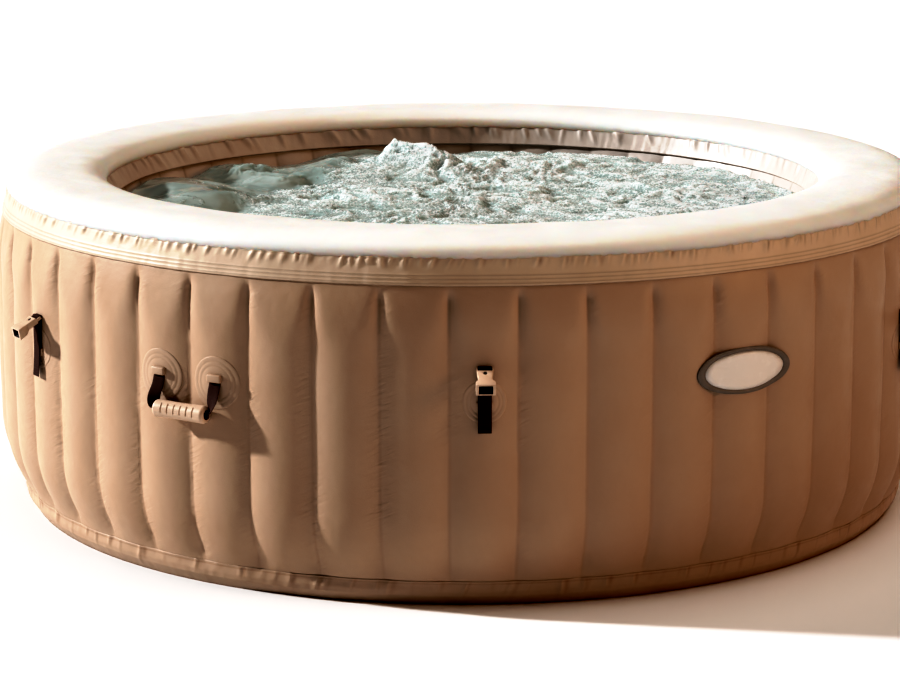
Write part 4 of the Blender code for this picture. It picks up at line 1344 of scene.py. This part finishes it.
def rounded_box(
    name: str, size: Sequence[float], centre: Sequence[float], edge: float, matrix: Matrix
) -> bpy.types.Mesh:
    """Box with rounded edges.

    Args:
        name: Name of the mesh.
        size: Its full sizes.
        centre: Its middle in the local frame.
        edge: Radius of the rounding.
        matrix: The local frame.

    Returns:
        The mesh in the row frame.
    """
    shape = bmesh.new()
    bmesh.ops.create_cube(shape, size=1.0)
    bmesh.ops.scale(shape, vec=size, verts=shape.verts)
    bmesh.ops.translate(shape, vec=centre, verts=shape.verts)
    bmesh.ops.bevel(shape, geom=shape.edges[:], offset=edge, segments=3, profile=0.5, affect="EDGES")
    bmesh.ops.transform(shape, matrix=matrix, verts=shape.verts)
    mesh = bpy.data.meshes.new(name)
    shape.to_mesh(mesh)
    shape.free()
    mesh.shade_smooth()
    mesh.set_sharp_from_angle(angle=SHARP)
    return mesh


PATCH_RINGS = (
    (1.0, 0.35), (0.985, 0.85), (0.96, 1.0), (0.86, 1.0), (0.83, 0.55), (0.80, 0.55), (0.77, 1.0),
    (0.68, 1.05), (0.655, 0.65), (0.63, 0.65), (0.60, 1.05), (0.45, 1.1), (0.25, 1.12), (0.08, 1.12),
)


@dataclass
class Straps:
    """Cover straps: patch with its tab, webbing looped over the buckle's bar, buckle and lock."""

    patch: float = 0.0008
    webbing: float = 0.0020
    webbing_width: float = 0.025
    loop: float = 0.0033
    tab: tuple[float, float, float] = (0.031, 0.0040, 0.014)
    tail_drop: float = 0.056
    sewn: tuple[float, float, float] = (0.0090, 0.004, 0.016)
    tilt: float = math.radians(32)
    mouth: tuple[float, float] = (0.025, 0.0145)
    mouth_depth: float = 0.0185
    edge: float = 0.0011

    def build(self, wall: OuterWall, finishes: Finishes) -> None:
        """Makes every strap.

        Args:
            wall: The wall that the patches lie on.
            finishes: The materials.
        """
        for number in range(1, STRAPS + 1):
            bar = joint_place(f"buckle_{number}_tilt")
            theta = math.atan2(bar.x, -bar.y)
            self.build_patch(number, theta, wall, finishes)
            self.build_webbing(number, theta, bar, wall, finishes)
            self.build_buckle(number, theta, bar, finishes)
            dress(f"lock_barrel_{number}", finishes.dark)

    def build_patch(self, number: int, theta: float, wall: OuterWall, finishes: Finishes) -> None:
        """Makes the round patch and the tab over the strap's root.

        Args:
            number: Number of the strap.
            theta: Its angle round the tub.
            wall: The wall that it lies on.
            finishes: The materials.
        """
        low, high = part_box(f"strap_patch_{number}")
        z, radius = (low.z + high.z) / 2, (high.z - low.z) / 2
        sheet = WallPatch(f"strap_patch_sheet_{number}", theta, z, radius, radius, self.patch, PATCH_RINGS)
        piece = place(sheet.name, sheet.mesh(wall), finishes.patch, TUB)
        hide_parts(f"strap_patch_{number}")
        crown = float(wall.radius(np.array(theta), np.array(z)))
        _, depth, height = self.tab
        name = f"strap_tab_{number}"
        centre = (0, -depth / 2, -height / 2)
        mesh = rounded_box(name, self.tab, centre, depth * 0.3, seat(theta, crown, z))
        place(name, mesh, finishes.patch, TUB)

    def build_webbing(
        self, number: int, theta: float, bar: Vector, wall: OuterWall, finishes: Finishes
    ) -> None:
        """Makes the webbing from the tab over the bar to its hanging tail.

        Args:
            number: Number of the strap.
            theta: Its angle round the tub.
            bar: Where the buckle's bar lies.
            wall: The wall behind it.
            finishes: The materials.
        """
        low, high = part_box(f"strap_patch_{number}")
        z = (low.z + high.z) / 2
        rise = bar.z - z
        crown = float(wall.radius(np.array(theta), np.array(z)))
        out = math.hypot(bar.x, bar.y) - crown
        front = out + self.loop
        path = [(0.0022, -self.tab[2] * 0.9), (0.0022, 0.0), (0.0030, 0.02)]
        path += [
            (out - self.loop * math.cos(turn), rise + self.loop * math.sin(turn))
            for turn in np.linspace(0, math.pi, 7)
        ]
        path += [(front, 0.020), (front, -0.006), (front + 0.0014, -0.030), (front + 0.0034, -self.tail_drop)]
        flat = smooth_line(path, 8)
        line = np.stack([np.zeros(len(flat)), -flat[:, 0], flat[:, 1]], axis=1)
        wide = np.tile(np.array([1.0, 0, 0]), (len(line), 1))
        half = np.full(len(line), self.webbing_width / 2)
        rings, weave = ribbon(line, wide, half, self.webbing)
        name = f"strap_ribbon_{number}"
        local = seat(theta, crown, z)
        mesh = lofted(name, moved(rings, local), attributes=weave)
        mesh.set_sharp_from_angle(angle=SHARP)
        piece = place(name, mesh, finishes.webbing, TUB)
        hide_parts(f"strap_webbing_{number}")
        self.build_stitches(number, flat, local, finishes)

    def build_stitches(self, number: int, flat: np.ndarray, local: Matrix, finishes: Finishes) -> None:
        """Sews a box of stitches on the end of the tail.

        Args:
            number: Number of the strap.
            flat: The webbing's line, as distances out of the wall and heights.
            local: Frame at the strap's root.
            finishes: The materials.
        """
        half, low_row, high_row = self.sewn
        rows = np.array([-self.tail_drop + low_row, -self.tail_drop + high_row])
        tail = flat[::-1][: len(flat) // 3]
        proud = np.interp(rows, tail[:, 1], tail[:, 0]) + self.webbing / 2
        (low_out, high_out), (low, high) = -proud, rows
        box = [(-half, low_out, low), (half, low_out, low), (half, high_out, high), (-half, high_out, high)]
        name = f"strap_stitches_{number}"
        mesh = Stitches().mesh(name, moved(np.array(box), local), finishes.thread)
        place(name, mesh, finishes.thread, TUB)

    def build_buckle(self, number: int, theta: float, bar: Vector, finishes: Finishes) -> None:
        """Makes the buckle with rounded edges and shade painted into its mouth.

        Args:
            number: Number of the strap.
            theta: Its angle round the tub.
            bar: Where its bar lies.
            finishes: The materials.
        """
        name = f"buckle_shell_{number}"
        mesh = softened(name, f"buckle_{number}", self.edge)
        piece = place(name, mesh, finishes.plastic, f"buckle_body_{number}")
        # Painted shade: faces inside the mouth take the dark moulding.
        mesh.materials.append(finishes.dark)
        tangent = Vector((math.cos(theta), math.sin(theta), 0))
        out = Vector((math.sin(theta), -math.cos(theta), 0))
        along = out * math.cos(self.tilt) - Vector((0, 0, math.sin(self.tilt)))
        length = max((v.co - bar).dot(along) for v in mesh.vertices)
        rise = tangent.cross(along)
        for face in mesh.polygons:
            offset = face.center - bar
            inside = abs(offset.dot(tangent)) < self.mouth[0] / 2 + 1e-4
            inside = inside and abs(offset.dot(rise)) < self.mouth[1] / 2 + 1e-4
            place_along = offset.dot(along) - length
            deep = -self.mouth_depth - self.edge < place_along < -self.edge
            lip = face.normal.dot(along) > 0.4 and place_along > -self.mouth_depth / 2
            face.material_index = 1 if inside and deep and not lip else 0
        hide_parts(f"buckle_{number}")


@dataclass
class Handles:
    """Carry handles: two patches with tabs, twisted webbing legs and a notched grip."""

    patch: float = 0.0008
    webbing: float = 0.0022
    webbing_width: float = 0.025
    leg_in_bore: float = 0.0088
    tab: tuple[float, float, float] = (0.030, 0.0090, 0.015)
    notches: int = 6
    notch_pitch: float = 0.0145
    notch_width: float = 0.0022
    notch_depth: float = 0.0020
    notch_reach: float = 0.62
    end_round: float = 0.0075
    bore: float = 0.0095
    stations: int = 190
    sides: int = 44

    def build(self, wall: OuterWall, finishes: Finishes) -> None:
        """Makes both handles.

        Args:
            wall: The wall that the patches lie on.
            finishes: The materials.
        """
        for number in range(1, HANDLES + 1):
            hinge = joint_place(f"handle_{number}_lift")
            theta = math.atan2(hinge.x, -hinge.y)
            local = seat(theta, math.hypot(hinge.x, hinge.y), hinge.z)
            back = local.inverted()
            grip = np.array([back @ Vector(p) for p in node_points(f"handle_grip_{number}")])
            low, high = grip.min(axis=0), grip.max(axis=0)
            for side in ("left", "right"):
                self.build_patch(number, side, theta, wall, finishes)
            self.build_webbing(number, local, (low + high) / 2, finishes)
            self.build_grip(number, local, low, high, finishes)

    def build_patch(self, number: int, side: str, theta: float, wall: OuterWall, finishes: Finishes) -> None:
        """Makes one round patch and its tab.

        Args:
            number: Number of the handle.
            side: Which of its two patches.
            theta: Angle of the handle's middle.
            wall: The wall that it lies on.
            finishes: The materials.
        """
        node = f"handle_patch_{number}_{side}"
        low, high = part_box(node)
        z, radius = (low.z + high.z) / 2, (high.z - low.z) / 2
        angle = theta + (PITCH / 2 if side == "right" else -PITCH / 2)
        sheet = WallPatch(f"handle_sheet_{number}_{side}", angle, z, radius, radius, self.patch, PATCH_RINGS)
        piece = place(sheet.name, sheet.mesh(wall), finishes.patch, TUB)
        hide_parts(node)
        crown = float(wall.radius(np.array(angle), np.array(z)))
        _, depth, height = self.tab
        name = f"handle_tab_{number}_{side}"
        centre = (0, -depth / 2, height / 2 + 0.001)
        mesh = rounded_box(name, self.tab, centre, depth * 0.28, seat(angle, crown - 0.001, z))
        place(name, mesh, finishes.patch, TUB)

    def build_webbing(self, number: int, local: Matrix, grip: np.ndarray, finishes: Finishes) -> None:
        """Makes the strap from one tab through the grip to the other.

        Args:
            number: Number of the handle.
            local: Frame of the hinge.
            grip: Middle of the grip in that frame.
            finishes: The materials.
        """
        across = math.hypot(local.translation.x, local.translation.y) * math.sin(PITCH / 2)
        out, drop = -grip[1], grip[2]
        leg = [
            (across, 0.0, 0.006, 0.0), (across, 0.0006, -0.002, 0.0), (across, 0.30 * out, 0.30 * drop, 0.03),
            (across + 0.002, 0.72 * out, 0.62 * drop, 0.18), (across + 0.001, 0.96 * out, 0.90 * drop, 0.62),
            (across - 0.008, out, drop, 1.0), (across / 2, out, drop, 1.0),
        ]
        mirrored = [(-x, o, z, 2 - twist) for x, o, z, twist in reversed(leg)]
        path = smooth_line(leg + mirrored, 8)
        line = np.stack([path[:, 0], -path[:, 1], path[:, 2]], axis=1)
        turn = path[:, 3] * math.pi / 2
        wide = np.stack([np.cos(turn), -np.sin(turn), np.zeros(len(turn))], axis=1)
        edge_on = ease(np.minimum(path[:, 3], 2 - path[:, 3]))
        half = self.webbing_width / 2 + (self.leg_in_bore - self.webbing_width / 2) * edge_on
        rings, weave = ribbon(line, wide, half, self.webbing)
        name = f"handle_ribbon_{number}"
        mesh = lofted(name, moved(rings, local), attributes=weave)
        mesh.set_sharp_from_angle(angle=SHARP)
        piece = place(name, mesh, finishes.webbing, f"handle_{number}")
        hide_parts(f"handle_webbing_{number}")

    def build_grip(
        self, number: int, local: Matrix, low: np.ndarray, high: np.ndarray, finishes: Finishes
    ) -> None:
        """Makes the moulded grip.

        Args:
            number: Number of the handle.
            local: Frame of the hinge.
            low: Lowest corner of the grip's solid in that frame.
            high: Its highest corner.
            finishes: The materials.
        """
        end, radius = (high[0] - low[0]) / 2, (high[2] - low[2]) / 2
        middle = (low + high) / 2
        x = np.linspace(-end, end, self.stations)[:, None]
        turn = round_about(self.sides)
        inset = np.clip((np.abs(x) - end + self.end_round) / self.end_round, 0, 1)
        shape = radius - self.end_round * (1 - np.sqrt(1 - inset**2))
        shape = shape * (1 - 0.035 * np.cos(math.pi * x / end) * 0.5)
        places = (np.arange(self.notches) - (self.notches - 1) / 2) * self.notch_pitch
        cut = sum(np.abs(x - p) < self.notch_width / 2 for p in places).astype(float)
        facing = ease((self.notch_reach - np.abs(turn - math.pi * 0.40)) / 0.10)
        outer = shape - self.notch_depth * cut * facing
        rings = np.stack([x + np.zeros_like(outer), -outer * np.sin(turn), outer * np.cos(turn)], axis=-1)
        bore = np.stack([
            x[[-1, 0]] + np.zeros_like(turn), -self.bore * np.sin(turn) + np.zeros((2, 1)),
            self.bore * np.cos(turn) + np.zeros((2, 1)),
        ], axis=-1)
        name = f"handle_grip_shell_{number}"
        mesh = lofted(name, moved(np.vstack([rings, bore]) + middle, local), True)
        mesh.set_sharp_from_angle(angle=math.radians(45))
        piece = place(name, mesh, finishes.plastic, f"handle_{number}")
        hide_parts(f"handle_grip_{number}")


@dataclass
class Badge:
    """Bare oval badge: a raised border round a plain face."""

    thickness: float = 0.0026
    face: float = 0.0016
    side_border: float = 0.017
    top_border: float = 0.008
    follow: float = 0.30

    def build(self, wall: OuterWall, finishes: Finishes) -> None:
        """Makes the badge on the wall.

        Args:
            wall: The wall that it lies on.
            finishes: The materials.
        """
        points = node_points("badge_border")
        middle = points.mean(axis=0)
        theta = math.atan2(middle[0], -middle[1])
        low, high = points[:, 2].min(), points[:, 2].max()
        angles = np.arctan2(points[:, 0], -points[:, 1])
        z, half_height = (low + high) / 2, (high - low) / 2
        half_width = wall.radii.max() * (angles.max() - angles.min()) / 2
        inner = (half_width - self.side_border, half_height - self.top_border)
        rings = ((1.0, 0.1), (0.95, 0.75), (0.86, 1.0), (0.5, 1.06), (0.10, 1.0), (0.0, 0.5))
        border = WallPatch(
            "badge_rim", theta, z, half_width, half_height, self.thickness, rings, self.follow, 120, inner
        )
        piece = place(border.name, border.mesh(wall), finishes.badge_border, TUB)
        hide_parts("badge_border")
        flat = tuple((share, 1.0) for share in (0.995, 0.8, 0.6, 0.4, 0.2, 0.05))
        plate = WallPatch("badge_plate", theta, z, *inner, self.face, flat, self.follow, 120)
        piece = place(plate.name, plate.mesh(wall), finishes.badge_face, TUB)
        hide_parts("badge_face")


@dataclass
class Fittings:
    """Ports, valves, caps and strainers of the service side, and the plain sheets of the base."""

    edge: float = 0.0007
    sheet_setback: float = 0.042
    sheet_columns: int = 256
    sheet_edge: float = 0.0004
    ports: tuple[str, ...] = ("water_inlet", "water_outlet", "air_port", "inflation_valve", "drain_valve")

    def build(self, finishes: Finishes) -> None:
        """Dresses the fittings and the base.

        Args:
            finishes: The materials.
        """
        for port in self.ports:
            for node in (port, f"{port}_cap"):
                body = f"{node}_body" if node.endswith("cap") else TUB
                mesh = softened(f"{node}_moulding", node, self.edge)
                piece = place(f"{node}_moulding", mesh, finishes.plastic, body)
                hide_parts(node)
        for port in ("water_inlet", "water_outlet"):
            dress(f"{port}_strainer", finishes.plastic)
        self.build_sheet(finishes)
        dress("floor_liner", finishes.inside)
        dress("air_channel", finishes.inside)

    def build_sheet(self, finishes: Finishes) -> None:
        """Makes the ground sheet, set back behind the tucked hem.

        Args:
            finishes: The materials.
        """
        low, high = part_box("ground_sheet")
        theta = round_about(self.sheet_columns)
        radius = np.array([0.02, 0.5, 0.95, 1.0, 1.0, 0.95, 0.02])[:, None] * (high.x - self.sheet_setback)
        upper, lower = high.z - self.sheet_edge, low.z + self.sheet_edge
        z = np.array([high.z, high.z, high.z, upper, lower, low.z, low.z])[:, None]
        mesh = lofted("ground_sheet_skin", turned_skin(radius + 0 * theta, z, theta))
        piece = place("ground_sheet_skin", mesh, finishes.sheet, TUB)
        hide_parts("ground_sheet")


@dataclass(frozen=True)
class Studio:
    """Pale floor, soft key light from the left, sky fill and the camera at the photograph's angle."""

    distance: float = 5.9387
    height: float = 1.5955
    pitch: float = math.radians(12.483)
    azimuth: float = math.radians(-2.34)
    aside: float = math.radians(0.26)
    lens: float = 112.8
    sensor: float = 36.0
    clip_end: float = 200.0
    floor_half: float = 40.0
    key_azimuth: float = math.radians(-101.5)
    key_elevation: float = math.radians(25.5)
    key_strength: float = 5.25
    key_softness: float = math.radians(3)
    key_colour: Colour = (0.985, 1.02, 1.06)
    top_azimuth: float = math.radians(95)
    top_elevation: float = math.radians(76)
    top_strength: float = 1.82
    top_colour: Colour = (1.0, 0.95, 0.90)
    fill_azimuth: float = math.radians(68)
    fill_elevation: float = math.radians(18)
    fill_strength: float = 0.91
    fill_softness: float = math.radians(20)
    fill_colour: Colour = (1.0, 0.62, 0.36)
    broad: float = math.radians(50)
    sky: Colour = (1.0, 0.66, 0.40)
    sky_strength: float = 0.035
    tone: tuple[tuple[float, float], ...] = (
        (0.0, 0.0), (0.16, 0.018), (0.35, 0.125), (0.63, 0.46), (0.82, 0.80), (1.0, 1.0),
    )

    def sun(
        self, name: str, azimuth: float, elevation: float, strength: float, colour: Colour, softness: float
    ) -> None:
        """Adds a distant lamp.

        Args:
            name: Name of the lamp.
            azimuth: Where it stands round the tub.
            elevation: Its height above the horizon.
            strength: Its strength.
            colour: Its colour.
            softness: Angle that it fills, which sets how soft its shadows are.
        """
        lamp = bpy.data.lights.new(name, "SUN")
        lamp.energy, lamp.color, lamp.angle = strength, colour, softness
        source = seat(azimuth, math.cos(elevation), math.sin(elevation)).translation
        made = bpy.data.objects.new(name, lamp)
        made.rotation_euler = source.to_track_quat("Z", "Y").to_euler()
        bpy.context.scene.collection.objects.link(made)

    def build(self) -> None:
        """Makes the stage, the lights and the camera."""
        half = self.floor_half
        mesh = bpy.data.meshes.new("floor")
        corners = [(-half, -half, 0), (half, -half, 0), (half, half, 0), (-half, half, 0)]
        mesh.from_pydata(corners, [], [(0, 1, 2, 3)])
        mesh.materials.append(Plain("pale_floor", (0.88, 0.875, 0.875), (0.87, 0.865, 0.865)).make())
        floor = bpy.data.objects.new("floor", mesh)
        bpy.context.scene.collection.objects.link(floor)
        world = bpy.data.worlds.new("studio")
        world.use_nodes = True
        world.node_tree.nodes["Background"].inputs["Color"].default_value = (*self.sky, 1.0)
        world.node_tree.nodes["Background"].inputs["Strength"].default_value = self.sky_strength
        bpy.context.scene.world = world
        self.sun(
            "key", self.key_azimuth, self.key_elevation, self.key_strength, self.key_colour, self.key_softness
        )
        self.sun("top", self.top_azimuth, self.top_elevation, self.top_strength, self.top_colour, self.broad)
        self.sun(
            "fill", self.fill_azimuth, self.fill_elevation, self.fill_strength, self.fill_colour,
            self.fill_softness,
        )
        camera = bpy.data.objects.new("camera", bpy.data.cameras.new("camera"))
        camera.data.lens = self.lens
        camera.data.sensor_width = self.sensor
        camera.data.clip_end = self.clip_end
        camera.location = seat(self.azimuth, self.distance, self.height).translation
        camera.rotation_euler = (math.pi / 2 - self.pitch, 0, self.azimuth + self.aside)
        bpy.context.scene.collection.objects.link(camera)
        bpy.context.scene.camera = camera
        self.set_tone(bpy.context.scene.view_settings)

    def set_tone(self, view: bpy.types.ColorManagedViewSettings) -> None:
        """Gives the picture the contrast of a sunlit photograph.

        Args:
            view: The scene's view settings.
        """
        view.view_transform = "Standard"
        view.use_curve_mapping = True
        curve = view.curve_mapping.curves[3]
        curve.points[0].location, curve.points[1].location = self.tone[0], self.tone[-1]
        for x, y in self.tone[1:-1]:
            curve.points.new(x, y)
        view.curve_mapping.update()


def main() -> None:
    """Builds and dresses every sub-assembly in order."""
    logging.basicConfig(level=logging.INFO, format="%(name)s: %(message)s")
    finishes = Finishes.make()
    wall = OuterWall()
    wall.build(finishes)
    Rim().build(finishes)
    Band("outer_collar_band", "outer_collar", Seed.COLLAR).build(finishes.band)
    hem = Band(
        "hem_band", "bottom_hem", Seed.HEM, rows=20, pleats=170, pleat=0.0016, pleat_width=(0.004, 0.010),
        pleat_length=(0.5, 1.0), welds=(0.9,), bulge=0.002, wall=wall,
    )
    hem.build(finishes.wall)
    InnerWall().build(finishes)
    inner_collar = Band(
        "inner_collar_band", "inner_collar", Seed.INSIDE, -1.0, 1536, pleats=120, pleat=0.0036,
        pleat_width=(0.006, 0.014), pleat_length=(0.7, 1.2), welds=(), edge=0.2,
    )
    inner_collar.build(finishes.inside)
    water = Water().build(finishes)
    Bubbles().build(water, finishes)
    Straps().build(wall, finishes)
    Handles().build(wall, finishes)
    Badge().build(wall, finishes)
    Fittings().build(finishes)
    Studio().build()


if __name__ == "__main__":
    main()
